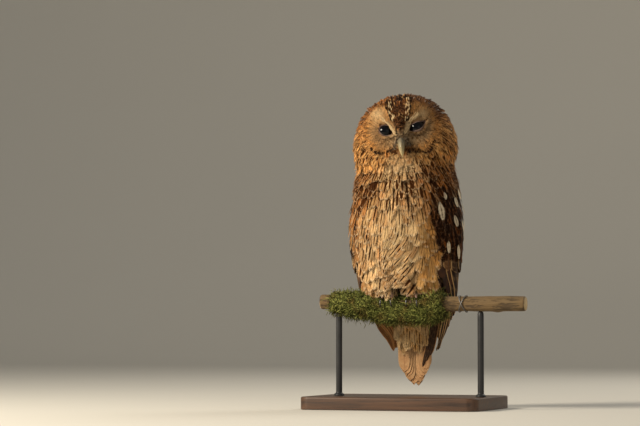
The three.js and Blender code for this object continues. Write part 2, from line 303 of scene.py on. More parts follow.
def add_values(item: Item, **values: Array) -> None:
    """Gives a mesh vectors for each vertex, or one for all, by attribute name.

    Args:
        item: The object.
        **values: The vectors.
    """
    for key, rows in values.items():
        layer = item.data.attributes.new(key, "FLOAT_VECTOR", "POINT")
        fill(layer.data, "vector", np.broadcast_to(rows, (len(item.data.vertices), 3)))


def mesh_from(
    name: str, points: Array, faces: Array, values: dict[str, Array], unwrap: Array,
    normals: Array | None = None
) -> Item:
    """Makes one smooth shaded object from arrays of points and equal-sided faces.

    Args:
        name: The object's name.
        points: One row for each vertex.
        faces: One row of vertex numbers for each face.
        values: Vectors for each vertex, by attribute name.
        unwrap: The place of each vertex on the unwrap.
        normals: The shading normal of each vertex, if it isn't the faces' own.

    Returns:
        The object, linked to the scene.
    """
    mesh = bpy.data.meshes.new(name)
    mesh.vertices.add(len(points))
    fill(mesh.vertices, "co", points)
    mesh.loops.add(faces.size)
    fill(mesh.loops, "vertex_index", faces, np.int32)
    mesh.polygons.add(len(faces))
    fill(mesh.polygons, "loop_start", np.arange(0, faces.size, faces.shape[1]), np.int32)
    fill(mesh.polygons, "use_smooth", np.full(len(faces), True), bool)
    mesh.update(calc_edges=True)
    item = link(name, mesh)
    add_values(item, **values)
    fill(mesh.uv_layers.new(name="OFBake").data, "uv", unwrap[faces.ravel()])
    if normals is not None:
        mesh.normals_split_custom_set_from_vertices(normals)
    return item


def lofted(
    name: str, sides: int, layers: int, place: Callable[[Array, Array], Array], kept_open: bool = False,
    **subdivision: object
) -> Item:
    """Extrudes a ring in layers, sets each layer's outline and subdivides the whole once.

    Args:
        name: The object's name.
        sides: How many points go round.
        layers: How many rings there are.
        place: The points for turns round and for shares from first to last ring.
        kept_open: Whether the two ends stay open.
        **subdivision: More settings of the subdivision.

    Returns:
        The object.
    """
    choose()
    bpy.ops.mesh.primitive_circle_add(vertices=sides, fill_type="NOTHING" if kept_open else "NGON")
    item = bpy.context.object
    with editing(item):
        for _ in range(layers - 1):
            bpy.ops.mesh.extrude_region_move(TRANSFORM_OT_translate={"value": (0, 0, 1.0)})
    points = points_of(item)
    turn = np.arctan2(points[:, 1], points[:, 0])
    place_points(item, place(turn, np.rint(points[:, 2]) / (layers - 1)))
    with editing(item):
        bpy.ops.mesh.normals_make_consistent(inside=False)
    subdivide(item, **subdivision)
    smooth(item)
    return settle(item, name)


def finish_piece(item: Item, finish: "Finish", nodes: Sequence[str] = ()) -> Item:
    """Dresses a piece, rides it on the body, hides the CAD nodes that it replaces and logs its face count.

    Args:
        item: The piece.
        finish: Its finish.
        nodes: The CAD nodes that it replaces.

    Returns:
        The same piece.
    """
    item.data.materials.clear()
    item.data.materials.append(finish.material())
    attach(item, "root")
    if nodes:
        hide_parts(*nodes)
    LOG.info("%s: %d faces", item.name, len(item.data.polygons))
    return item


# ---- shader maths


def operation(kind: str, swapped: bool = False) -> Callable[..., "Value"]:
    """Makes a method that adds a Math node.

    Args:
        kind: Which operation the node does.
        swapped: Whether the other number goes in before the value.

    Returns:
        The method.
    """

    def method(self: "Value", *others: "Value | float") -> "Value":
        """Puts the value and any others through the node."""
        inputs = (*others, self) if swapped else (self, *others)
        return self.graph.node("ShaderNodeMath", {"operation": kind}, dict(enumerate(inputs)))

    return method


@dataclass(frozen=True)
class Value:
    """One shader socket that can be used in expressions. Each operation adds a Math node."""

    graph: "Graph"
    socket: bpy.types.NodeSocket

    __add__ = __radd__ = operation("ADD")
    __sub__, __rsub__ = operation("SUBTRACT"), operation("SUBTRACT", swapped=True)
    __mul__ = __rmul__ = operation("MULTIPLY")
    __truediv__, __pow__, __abs__ = operation("DIVIDE"), operation("POWER"), operation("ABSOLUTE")
    sin, most, least = operation("SINE"), operation("MAXIMUM"), operation("MINIMUM")

    def ease(self, low: "Operand", high: "Operand") -> "Value":
        """Eases from 0 at low to 1 at high, which may be the smaller."""
        settings = {"interpolation_type": "SMOOTHSTEP", "clamp": True}
        return self.graph.node("ShaderNodeMapRange", settings, {0: self, 1: low, 2: high})


Operand = Value | float


class Graph:
    """The node tree of one material, ending in a Principled shader."""

    def __init__(self, name: str) -> None:
        """Starts a material with a name."""
        self.made = bpy.data.materials.new(name)
        self.made.use_nodes = True
        self.tree = self.made.node_tree
        self.shader = next(n for n in self.tree.nodes if n.type == "BSDF_PRINCIPLED")

    def feed(self, socket: bpy.types.NodeSocket, value: object) -> None:
        """Links a value to a socket, or sets the socket to it.

        Args:
            socket: An input.
            value: A link, a number or a colour.
        """
        if isinstance(value, Value):
            self.tree.links.new(value.socket, socket)
        elif isinstance(value, tuple) and len(value) == 3 and socket.type == "RGBA":
            socket.default_value = (*value, 1)
        else:
            socket.default_value = value

    def node(
        self, kind: str, settings: dict[str, object], values: dict[int | str, object],
        output: int | str = 0
    ) -> Value:
        """Adds any node.

        Args:
            kind: The node's type.
            settings: Its settings, which are set first.
            values: Numbers, colours or links for its inputs, by number or name.
            output: Which output to return.

        Returns:
            That output.
        """
        made = self.tree.nodes.new(kind)
        for key, value in settings.items():
            setattr(made, key, value)
        for key, value in values.items():
            self.feed(made.inputs[key], value)
        return Value(self, made.outputs[output])

    def split(self, vector: Value) -> tuple[Value, ...]:
        """The three numbers of a vector."""
        parts = self.node("ShaderNodeSeparateXYZ", {}, {0: vector}).socket.node.outputs
        return tuple(Value(self, part) for part in parts)

    def attribute(self, name: str) -> Value:
        """A vector stored on the mesh."""
        return self.node("ShaderNodeAttribute", {"attribute_name": name}, {}, "Vector")

    def vane(self) -> tuple[Value, ...]:
        """A blade's places along and across its feather or strand, and that one's random number."""
        return self.split(self.attribute("vane"))

    def join(self, x: Operand, y: Operand, z: Operand) -> Value:
        """A vector of three numbers."""
        return self.node("ShaderNodeCombineXYZ", {}, {0: x, 1: y, 2: z})

    def place(self) -> Value:
        """The point on the object, in metres."""
        return self.node("ShaderNodeTexCoord", {}, {}, "Object")

    def vector(self, kind: str, a: Value, b: object, output: int | str = 0) -> Value:
        """Vector maths on a value and another value or vector."""
        return self.node("ShaderNodeVectorMath", {"operation": kind}, {0: a, 1: b}, output)

    def noise(self, vector: Value, scale: float, detail: float = 3, rough: float = 0.5) -> Value:
        """Smooth noise from 0 to 1."""
        values = {"Vector": vector, "Scale": scale, "Detail": detail, "Roughness": rough}
        return self.node("ShaderNodeTexNoise", {"noise_dimensions": "3D"}, values)

    def grain(self, stretch: Colour, scale: float, detail: float = 3, rough: float = 0.5) -> Value:
        """Noise over the object, drawn out along the axes whose share is small."""
        return self.noise(self.vector("MULTIPLY", self.place(), stretch), scale, detail, rough)

    def mix(self, share: Operand, a: object, b: object, kind: str = "MIX") -> Value:
        """Mixes two colours, each a colour or a link."""
        settings = {"data_type": "RGBA", "blend_type": kind}
        return self.node("ShaderNodeMix", settings, {0: share, 6: a, 7: b}, 2)

    def shaded(self, colour: Value, share: Operand, dark: Colour, light: Colour) -> Value:
        """A colour times a shade between two near-greys."""
        return self.mix(1.0, colour, self.mix(share, dark, light), "MULTIPLY")

    def bump(self, height: Value, depth: float, strength: float) -> Value:
        """A normal from a height from 0 to 1 and its depth in millimetres."""
        values = {"Strength": strength, "Distance": depth * MM, "Height": height}
        return self.node("ShaderNodeBump", {}, values)

    def done(self, **inputs: object) -> bpy.types.Material:
        """Feeds the shader's inputs, by name with _ for a space, and gives the material.

        Args:
            **inputs: Numbers, colours or links.

        Returns:
            The material.
        """
        for key, value in inputs.items():
            self.feed(self.shader.inputs[key.replace("_", " ")], value)
        return self.made


# ---- finishes


@dataclass(frozen=True)
class Finish:
    """A named finish. Its material is made once."""

    name: str

    def material(self) -> bpy.types.Material:
        """The finish's material, made the first time it is asked for."""
        return bpy.data.materials.get(self.name) or self.make(Graph(self.name))

    def make(self, g: Graph) -> bpy.types.Material:
        """Builds the material.

        Args:
            g: Its empty node tree.

        Returns:
            The material.
        """
        raise NotImplementedError


@dataclass(frozen=True)
class FeatherFinish(Finish):
    """Barbed feathers: ground and mark colours come with each feather, the pattern from its vane."""

    def make(self, g: Graph) -> bpy.types.Material:
        """Builds shaft streaks, cross bars, pale edges and fine barb lines."""
        along, across, chance = g.vane()
        streak, bars, pale = g.split(g.attribute("mark"))
        out = abs(across)
        wander = g.noise(g.join(along * 5, across * 3, chance * 40), 1.0, 2)
        edge = out + (wander - 0.5) * 0.20
        reach = streak * (1.10 - 0.55 * along ** 3) * along.ease(1.0, 0.84)
        shaft = edge.ease(reach + 0.07, reach - 0.05)
        lines = g.noise(g.join(across * 26, along * 3, chance * 30), 1.0, 1)
        wave = ((along - out * 0.18 + wander * 0.10) * 25 + chance * 6).sin()
        rungs = wave.ease(0.35, 0.9) * out.ease(0.86, 0.62) * bars
        mark = shaft.most(rungs) * (0.88 + 0.25 * lines)
        ground = g.attribute("ground")
        light = g.mix(0.42, ground, (0.92, 0.80, 0.58))
        fringe = (out * 0.9 + wander * 0.3).ease(0.50, 0.95).most(along.ease(0.84, 0.97))
        base = g.mix(pale * fringe, ground, light)
        fleck = g.noise(g.place(), 260, 3, 0.6)
        tone = g.shaded(base, fleck, (0.74, 0.71, 0.67), (1.24, 1.22, 1.20))
        return g.done(
            Base_Color=g.mix(mark.least(1.0), tone, g.attribute("dye")), Roughness=0.85,
            Sheen_Weight=0.02, Sheen_Roughness=0.5, Specular_IOR_Level=0.05,
            Normal=g.bump(lines, 0.25, 0.5)
        )


@dataclass(frozen=True)
class FlightFinish(Finish):
    """Closed vanes of wing and tail feathers, barred, with pale edges and a horny shaft."""

    bars: float = 7.0
    quill: Colour = (0.10, 0.06, 0.035)

    def make(self, g: Graph) -> bpy.types.Material:
        """Builds bars across each vane, a pale fringe, barb lines and the shaft."""
        along, across, chance = g.vane()
        bar, fringe, spot = g.split(g.attribute("mark"))
        out = abs(across)
        wander = g.noise(g.join(along * 14, across * 3, chance * 40), 1.0, 3)
        wave = ((along + out * 0.03) * (TAU * self.bars) + (wander - 0.5) * 3.0 + chance * 5).sin()
        pale_bar = wave.ease(0.25, 0.85) * bar * out.ease(0.05, 0.30)
        rim = (out + (wander - 0.5) * 0.10).ease(0.68, 0.84) * fringe
        pale = pale_bar.most(rim).most(spot).least(1.0)
        base = g.mix(pale, g.attribute("ground"), g.attribute("dye"))
        barbs = ((along * 9 + out * 1.4) * 60 + wander * 2).sin() * 0.5 + 0.5
        tone = g.shaded(base, barbs, (0.80, 0.79, 0.78), (1.12, 1.11, 1.10))
        mottle = g.noise(g.place(), 190, 4, 0.65)
        tone = g.shaded(tone, mottle, (0.68, 0.66, 0.64), (1.28, 1.26, 1.24))
        return g.done(
            Base_Color=g.mix(out.ease(0.07, 0.04), tone, self.quill), Roughness=0.6,
            Specular_IOR_Level=0.15, Sheen_Weight=0.03, Normal=g.bump(barbs, 0.15, 0.6)
        )


@dataclass(frozen=True)
class SkinFinish(Finish):
    """The body's skin: downy and marked like the coat, bare and scaly on toes and lids."""

    bare: Colour = rgb(206, 166, 146)

    def make(self, g: Graph) -> bpy.types.Material:
        """Builds down where the coat lies and pebbled skin where it is bare."""
        naked, dark, lid = g.split(g.attribute("mark"))
        wisps = g.grain((1.0, 1.0, 0.22), 420, 4, 0.6)
        streaks = g.grain((1.0, 1.0, 0.30), 130, 2)
        down = g.mix(streaks.ease(0.52, 0.66) * 0.75, g.attribute("ground"), g.attribute("dye"))
        down = g.shaded(down, wisps, (0.55, 0.53, 0.5), (1.2, 1.18, 1.15))
        settings = {"feature": "DISTANCE_TO_EDGE"}
        cells = g.node("ShaderNodeTexVoronoi", settings, {"Vector": g.place(), "Scale": 850})
        crease = cells.ease(0.0, 0.12)
        toe = g.mix(g.noise(g.place(), 160).ease(0.35, 0.7), self.bare, (0.36, 0.19, 0.13))
        toe = g.mix(crease.most(lid), (0.16, 0.10, 0.075), toe)
        toe = g.mix(dark, toe, (0.050, 0.032, 0.026))
        return g.done(
            Base_Color=g.mix(naked, down, toe), Roughness=0.85 - 0.35 * naked,
            Normal=g.bump(g.mix(naked, wisps, crease), 0.35, 0.8)
        )


@dataclass(frozen=True)
class HornFinish(Finish):
    """Bill and claw horn, grown in fine lines and darker at one end."""

    near: Colour
    far: Colour
    top: float
    bottom: float
    rough: float = 0.38

    def make(self, g: Graph) -> bpy.types.Material:
        """Builds the change of colour down the horn, with growth lines and scuffs."""
        _, _, z = g.split(g.place())
        grain = g.grain((1.0, 1.0, 0.12), 900)
        cloud = g.noise(g.place(), 240)
        share = (z + (cloud - 0.5) * 0.006).ease(self.top, self.bottom)
        colour = g.mix(share, self.near, self.far)
        return g.done(
            Base_Color=g.shaded(colour, grain, (0.70, 0.69, 0.66), (1.2, 1.2, 1.18)),
            Roughness=self.rough + (cloud - 0.5) * 0.25, Coat_Weight=0.15, Normal=g.bump(grain, 0.12, 0.6)
        )


@dataclass(frozen=True)
class EyeFinish(Finish):
    """The dark wet eye of a tawny owl: a brown-black iris round a black pupil."""

    centres: tuple[Colour, Colour]
    outward: Colour
    pupil: float

    def make(self, g: Graph) -> bpy.types.Material:
        """Builds the pupil and the iris round each eye's own axis."""
        spreads = []
        for centre in self.centres:
            away = g.vector("SUBTRACT", g.place(), centre)
            across = g.vector("CROSS_PRODUCT", away, self.outward)
            spreads.append(g.vector("LENGTH", across, (0.0, 0.0, 0.0), "Value"))
        streaks = g.noise(g.place(), 900, 2)
        iris = g.mix(streaks, (0.006, 0.004, 0.003), (0.014, 0.008, 0.005))
        spread = spreads[0].least(spreads[1])
        return g.done(
            Base_Color=g.mix(spread.ease(self.pupil, self.pupil * 1.12), (0.002, 0.002, 0.003), iris),
            Roughness=0.08 + 0.06 * streaks, Specular_IOR_Level=0.22
        )


@dataclass(frozen=True)
class BarkFinish(Finish):
    """Dry brown bark with lengthwise cracks, and pale sawn ends with a dark rim."""

    start: float
    end: float
    middle: Colour
    radius: float

    def make(self, g: Graph) -> bpy.types.Material:
        """Builds bark on the side and growth rings on the two ends."""
        x, y, z = g.split(g.place())
        grain = g.grain((0.10, 1.0, 1.0), 520, 5, 0.62)
        patch = g.grain((0.35, 1.0, 1.0), 70)
        cracks = g.grain((0.16, 1.0, 1.0), 240, 3, 0.7).ease(0.50, 0.60)
        bark = g.mix(grain, rgb(78, 60, 36), rgb(142, 114, 74))
        bark = g.mix(patch.ease(0.35, 0.7) * 0.6, bark, rgb(116, 96, 66))
        bark = g.mix(cracks * 0.65, bark, rgb(52, 38, 25))
        dy, dz = y - self.middle[1], z - self.middle[2]
        out = ((dy * dy + dz * dz) ** 0.5) / self.radius
        rings = (out * 42 + (patch - 0.5) * 10).sin()
        wood = g.mix(rings * 0.5 + 0.5, rgb(178, 150, 108), rgb(206, 182, 140))
        wood = g.mix(out.ease(0.80, 0.95), wood, rgb(70, 50, 32))
        sawn = x.ease(self.end - 0.9 * MM, self.end - 0.3 * MM)
        sawn = sawn.most(x.ease(self.start + 0.9 * MM, self.start + 0.3 * MM))
        return g.done(
            Base_Color=g.mix(sawn, bark, wood), Roughness=0.88 - 0.12 * grain,
            Normal=g.bump(g.mix(sawn, grain - cracks * 0.8, grain), 0.8, 0.9)
        )


@dataclass(frozen=True)
class MossFinish(Finish):
    """Dry moss, from olive-brown in the depth to yellow-green at the tips."""

    def make(self, g: Graph) -> bpy.types.Material:
        """Builds the change from root to tip, with a patchwork of greens and browns."""
        along, _, chance = g.vane()
        fine = g.noise(g.place(), 900)
        green = g.mix(chance, rgb(76, 90, 32), rgb(186, 186, 102))
        green = g.mix(g.noise(g.place(), 62).ease(0.50, 0.72), green, rgb(140, 112, 60))
        colour = g.mix(along ** 1.3, rgb(40, 44, 18), green)
        return g.done(
            Base_Color=g.shaded(colour, fine, (0.66, 0.66, 0.62), (1.3, 1.3, 1.2)), Roughness=0.9,
            Specular_IOR_Level=0.2, Normal=g.bump(fine, 0.6, 0.7)
        )


@dataclass(frozen=True)
class WoodFinish(Finish):
    """Dark stained wood under a thin satin varnish."""

    def make(self, g: Graph) -> bpy.types.Material:
        """Builds long grain, pores and slight wear of the varnish."""
        bent = g.grain((0.5, 1.0, 1.0), 9, 2)
        grain = g.grain((0.05, 1.0, 1.0), 190, 6, 0.6)
        pores = g.grain((0.04, 1.0, 1.0), 900, 2).ease(0.60, 0.72)
        colour = g.mix((grain * 0.8 + bent * 0.3).ease(0.3, 0.8), rgb(46, 30, 20), rgb(98, 66, 42))
        return g.done(
            Base_Color=g.mix(pores * 0.6, colour, rgb(26, 17, 11)), Roughness=0.42 + 0.16 * grain,
            Coat_Weight=0.25, Coat_Roughness=0.25, Normal=g.bump(grain - pores * 0.5, 0.12, 0.5)
        )


@dataclass(frozen=True)
class MetalFinish(Finish):
    """Plain metal: satin black paint on the rods, dull steel for the wire."""

    colour: Colour
    metallic: float
    rough: float

    def make(self, g: Graph) -> bpy.types.Material:
        """Builds a slightly uneven satin surface."""
        cloud = g.noise(g.place(), 60)
        light = tuple(min(1.0, c * 1.5 + 0.01) for c in self.colour)
        return g.done(
            Base_Color=g.mix(cloud, self.colour, light), Metallic=self.metallic,
            Roughness=self.rough + 0.14 * cloud, Normal=g.bump(g.noise(g.place(), 700, 4), 0.05, 0.4)
        )


@dataclass(frozen=True)
class StageFinish(Finish):
    """The plain pale floor and backdrop."""

    colour: Colour

    def make(self, g: Graph) -> bpy.types.Material:
        """Builds a matt, faintly clouded surface."""
        dim = tuple(c * 0.96 for c in self.colour)
        return g.done(Base_Color=g.mix(g.noise(g.place(), 1.5, 2), dim, self.colour), Roughness=0.9)


# ---- the plumage's outer surface


@dataclass
class Surface:
    """A surface as a radius round an upright axis, with a round cap above and below.

    A place on it is a turn round the axis, from the front towards the owl's left, and a length down
    from its top. The axis may lean: its depth follows the height.
    """

    targets: InitVar[Sequence[Item]]
    # Heights of the two caps' centres, and their rough radii.
    top: float
    bottom: float
    caps: Pair
    # The axis as heights with their depths, from low to high.
    lean: Sequence[Pair]
    # How many turns and rows are measured, how far that is smoothed and how widely hollows are bridged.
    grid: tuple[int, int]
    soften: float
    drape: float = 0.0
    reach: float = 0.3

    def __post_init__(self, targets: Sequence[Item]) -> None:
        """Measures the targets' outermost faces by rays towards the axis."""
        self.axis = np.array(self.lean, float).T
        self.columns, self.rows = self.grid
        self.upper = self.caps[0] * math.pi / 2
        self.lower = self.upper + self.top - self.bottom
        self.length = self.lower + self.caps[1] * math.pi / 2
        around = np.arange(self.columns) * TAU / self.columns - math.pi
        turns, lengths = np.meshgrid(around, np.linspace(0, self.length, self.rows), indexing="ij")
        starts, ways = self.rays(turns, lengths)
        self.radius = self.measure(targets, starts, ways)
        bridged = self.smoothed(self.drape) if self.drape else 0.0
        self.radius = np.maximum(self.smoothed(self.soften), bridged)
        if self.drape:
            self.radius = self.smoothed(self.soften)
        self.normals = self.slopes(starts + ways * self.radius[..., None], ways)

    def rays(self, turns: Array, lengths: Array) -> tuple[Array, Array]:
        """The axis point and the outward direction for places on the surface.

        Args:
            turns: Turns round the axis.
            lengths: Lengths down from the top.

        Returns:
            Points on the axis and unit directions.
        """
        under = math.pi / 2 + np.maximum(lengths - self.lower, 0) / self.caps[1]
        tilt = np.where(lengths < self.upper, lengths / self.caps[0], under)
        height = np.clip(self.top - (lengths - self.upper), self.bottom, self.top)
        depth = np.interp(height, *self.axis)
        flat = np.sin(tilt)
        ways = np.stack([np.sin(turns) * flat, -np.cos(turns) * flat, np.cos(tilt)], -1)
        return np.stack([np.zeros_like(height), depth, height], -1), ways

    def measure(self, targets: Sequence[Item], starts: Array, ways: Array) -> Array:
        """The distance from the axis to the outermost target along each ray.

        Args:
            targets: The objects.
            starts: Points on the axis.
            ways: Unit directions outwards.

        Returns:
            Radii, with rays that missed filled from their neighbours round the axis.
        """
        deps = bpy.context.evaluated_depsgraph_get()
        trees = [BVHTree.FromObject(item, deps) for item in targets]
        radius = np.full(starts.shape[:2], np.nan)
        for spot in np.ndindex(*radius.shape):
            way = Vector(ways[spot])
            outside = Vector(starts[spot]) + way * self.reach
            hits = [tree.ray_cast(outside, -way, self.reach)[3] for tree in trees]
            near = [hit for hit in hits if hit is not None]
            if near:
                radius[spot] = self.reach - min(near)
        for _ in range(self.columns // 2):
            for shift in (1, -1):
                radius = np.where(np.isnan(radius), np.roll(radius, shift, 0), radius)
        rows = np.arange(self.rows)
        known = ~np.isnan(radius)
        return np.stack([np.interp(rows, rows[k], r[k]) for k, r in zip(known, radius)])

    def smoothed(self, size: float) -> Array:
        """The radius blurred over about the same distance both ways.

        Args:
            size: The blur's distance.

        Returns:
            The blurred radius.
        """
        down = size / (self.length / (self.rows - 1))
        around = size / (TAU * np.maximum(self.radius.mean(0), 0.02) / self.columns)
        reach = int(3 * down) + 1
        weights = np.exp(-0.5 * (np.arange(-reach, reach + 1) / down) ** 2)
        weights /= weights.sum()
        padded = np.pad(self.radius, ((0, 0), (reach, reach)), mode="edge")
        blurred = sum(w * padded[:, k : k + self.rows] for k, w in enumerate(weights))
        waves = np.fft.rfftfreq(self.columns)[:, None]
        damp = np.exp(-2 * (math.pi * waves * around[None, :]) ** 2)
        radius = np.fft.irfft(np.fft.rfft(blurred, axis=0) * damp, self.columns, axis=0)
        radius[:, 0], radius[:, -1] = radius[:, 1].mean(), radius[:, -2].mean()
        return radius

    def slopes(self, points: Array, ways: Array) -> Array:
        """The normals of the grid's points, which face away from the axis.

        Args:
            points: The points.
            ways: The directions out of the axis there.

        Returns:
            Unit normals.
        """
        around = np.roll(points, -1, 0) - np.roll(points, 1, 0)
        normals = unit(np.cross(np.gradient(points, axis=1), around))
        flip = np.sign(np.sum(normals * ways, -1, keepdims=True))
        normals = normals * np.where(flip == 0, 1, flip)
        normals[:, 0], normals[:, -1] = ways[:, 0], ways[:, -1]
        return normals

    def sample(self, table: Array, turns: Array, lengths: Array) -> Array:
        """Reads a table of the grid between its entries.

        Args:
            table: Numbers or vectors on the grid.
            turns: Turns round the axis.
            lengths: Lengths down from the top.

        Returns:
            The values there.
        """
        a = (np.asarray(turns) + math.pi) / TAU * self.columns
        b = np.clip(np.asarray(lengths) / self.length, 0, 1) * (self.rows - 1)
        i, j = np.floor(a).astype(int), np.minimum(b.astype(int), self.rows - 2)
        s, t = a - i, b - j
        i, k = i % self.columns, (i + 1) % self.columns
        if table.ndim == 3:
            s, t = s[..., None], t[..., None]
        upper = table[i, j] * (1 - s) + table[k, j] * s
        lower = table[i, j + 1] * (1 - s) + table[k, j + 1] * s
        return upper * (1 - t) + lower * t

    def at(self, turns: Array, lengths: Array) -> tuple[Array, Array]:
        """Points of the surface and its normals there.

        Args:
            turns: Turns round the axis.
            lengths: Lengths down from the top.

        Returns:
            Points and unit normals.
        """
        starts, ways = self.rays(np.asarray(turns, float), np.asarray(lengths, float))
        reach = self.sample(self.radius, turns, lengths)
        return starts + ways * reach[..., None], unit(self.sample(self.normals, turns, lengths))

    def where(self, points: Array) -> tuple[Array, Array]:
        """The turn and the length down of the nearest way in to each point.

        Args:
            points: The points.

        Returns:
            Turns and lengths.
        """
        height = np.clip(points[..., 2], self.bottom, self.top)
        x, y = points[..., 0], points[..., 1] - np.interp(height, *self.axis)
        across = np.hypot(x, y)
        above, below = points[..., 2] - self.top, self.bottom - points[..., 2]
        cap = self.caps[0] * np.arctan2(across, np.maximum(above, 1e-9))
        keel = self.lower + self.caps[1] * np.arctan2(np.maximum(below, 0), across)
        side = np.where(below > 0, keel, self.upper + self.top - height)
        return np.arctan2(x, -y), np.where(above > 0, cap, side)

    def project(self, points: Array) -> tuple[Array, Array]:
        """Moves points onto the surface and gives its normals there."""
        return self.at(*self.where(points))

    def beneath(self, points: Array) -> tuple[Array, Array, Array, Array]:
        """What lies over points: their axis points, ways out, distances and the surface's radii.

        Args:
            points: The points.

        Returns:
            The four, each with one row for each point.
        """
        places = self.where(points)
        starts, ways = self.rays(*places)
        return starts, ways, np.linalg.norm(points - starts, axis=-1), self.sample(self.radius, *places)

    def unwrap(self, points: Array) -> Array:
        """Places on a flat unwrap of the surface, from 0.02 to 0.97 both ways."""
        turns, lengths = self.where(points)
        return 0.02 + 0.95 * np.stack([turns / TAU + 0.5, 1 - lengths / self.length], -1)

    def rows_of_roots(self, low: float, high: float, row: float, gap: float, rng: Rng) -> Array:
        """Roots in staggered rows round the surface.

        Args:
            low: Where the first row lies, as a length down.
            high: Where the last row lies.
            row: The distance between rows.
            gap: The distance between roots in a row.
            rng: Random numbers.

        Returns:
            Points on the surface.
        """
        found = []
        for k, length in enumerate(np.arange(low, high, row)):
            ring, _ = self.at(np.linspace(-math.pi, math.pi, 90), np.full(90, length))
            around = np.linalg.norm(np.diff(ring, axis=0), axis=1).sum()
            count = max(3, int(around / gap))
            turns = (np.arange(count) + 0.5 * (k % 2) + rng.uniform(-0.3, 0.3, count)) / count * TAU
            lengths = length + rng.uniform(-0.32, 0.32, count) * row
            found.append(self.at(turns - math.pi, lengths)[0])
        return np.concatenate(found)


# ---- the face and the owl's markings


class Side(Enum):
    """The owl's own left or right, as the sign of x."""

    LEFT = 1
    RIGHT = -1

    @property
    def word(self) -> str:
        """The side's word in node names."""
        return self.name.lower()


@dataclass
class Face:
    """The head's own frame: across to the owl's left, up, and out of the face, from between the eyes."""

    yaw: float = math.radians(13)
    roll: float = math.radians(-6)
    pitch: float = math.radians(3)
    # Each facial disc's middle, half-width and half-heights above and below it.
    disc_out: float = 21 * MM
    disc_up: float = 2 * MM
    disc_wide: float = 26 * MM
    disc_high: float = 33 * MM
    disc_low: float = 31 * MM
    disc_behind: float = -26 * MM

    def __post_init__(self) -> None:
        """Finds the frame from the CAD eyes."""
        turn = Euler((self.pitch, self.roll, self.yaw), "XYZ").to_matrix()
        self.axes = np.array([turn @ Vector(v) for v in ((1, 0, 0), (0, 0, 1), (0, -1, 0))])
        self.eyes = {side: np.array(sum(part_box(f"eye_{side.word}"), Vector()) / 2) for side in Side}
        self.origin = (self.eyes[Side.LEFT] + self.eyes[Side.RIGHT]) / 2

    def local(self, points: Array) -> Array:
        """How far points lie across, up and out from between the eyes."""
        return np.moveaxis((points - self.origin) @ self.axes.T, -1, 0)

    def world(self, across: Array, up: Array, out: Array) -> Array:
        """Points at places of the head's frame, given in millimetres."""
        return self.origin + np.stack([across, up, out], -1) * MM @ self.axes

    def disc(self, points: Array) -> Array:
        """How far points lie from the middle of their side's facial disc, 1 at its rim.

        Args:
            points: The points.

        Returns:
            The distances, which are 3 behind the face.
        """
        across, up, out = self.local(points)
        tall = np.where(up > self.disc_up, self.disc_high, self.disc_low)
        far = np.hypot((np.abs(across) - self.disc_out) / self.disc_wide, (up - self.disc_up) / tall)
        return np.where(out > self.disc_behind, far, 3.0)

    def nearest_eye(self, points: Array) -> tuple[Array, Array]:
        """The vectors to points from the eye nearest to each, and their lengths.

        Args:
            points: The points.

        Returns:
            Vectors and lengths.
        """
        away = points[:, None] - np.array(list(self.eyes.values()))
        far = np.linalg.norm(away, axis=-1)
        return away[np.arange(len(points)), far.argmin(1)], far.min(1)


@dataclass
class Coat:
    """What the markings are at each of many points."""

    ground: Array
    dye: Array
    streak: Array
    bars: Array
    pale: Array

    @classmethod
    def even(cls, points: Array, *marks: Colour | Array | float) -> "Coat":
        """The coat at points, with each mark that is the same all over spread over them."""
        shapes = [(len(points), 3)] * 2 + [(len(points),)] * 3
        return cls(*(np.array(np.broadcast_to(mark, shape)) for mark, shape in zip(marks, shapes)))

    def mixed(self, other: "Coat", share: Array) -> "Coat":
        """This coat turned into another by a share at each point.

        Args:
            other: The other coat.
            share: The other's share.

        Returns:
            The mixed coat.
        """
        colours = (blend(self.ground, other.ground, share), blend(self.dye, other.dye, share))
        pairs = ((self.streak, other.streak), (self.bars, other.bars), (self.pale, other.pale))
        return Coat(*colours, *(mine * (1 - share) + theirs * share for mine, theirs in pairs))


@dataclass(frozen=True)
class Plain:
    """One colour for feathers that are marked alike wherever they grow."""

    ground: Colour
    dye: Colour = rgb(60, 34, 14)
    streak: float = 0.0
    bars: float = 0.0
    pale: float = 0.3

    def __call__(self, points: Array) -> Coat:
        """The coat at points."""
        return Coat.even(points, self.ground, self.dye, self.streak, self.bars, self.pale)


@dataclass(frozen=True)
class Combed:
    """A lie that follows one direction along any surface."""

    way: Colour

    def __call__(self, points: Array, normals: Array) -> Array:
        """The feathers' direction at points."""
        return tangential(np.tile(self.way, (len(points), 1)), normals)


DOWNWARDS = Combed((0.0, 0.0, -1.0))


def breast_turn(points: Array) -> Array:
    """Points' turns round the trunk from the breast towards the owl's left, in degrees."""
    return np.degrees(np.arctan2(points[:, 0], -(points[:, 1] - 6 * MM)))


def over_perch(points: Array) -> Array:
    """Points' heights over the branch's axis, in millimetres."""
    return (points[:, 2] - PERCH_HEIGHT) / MM


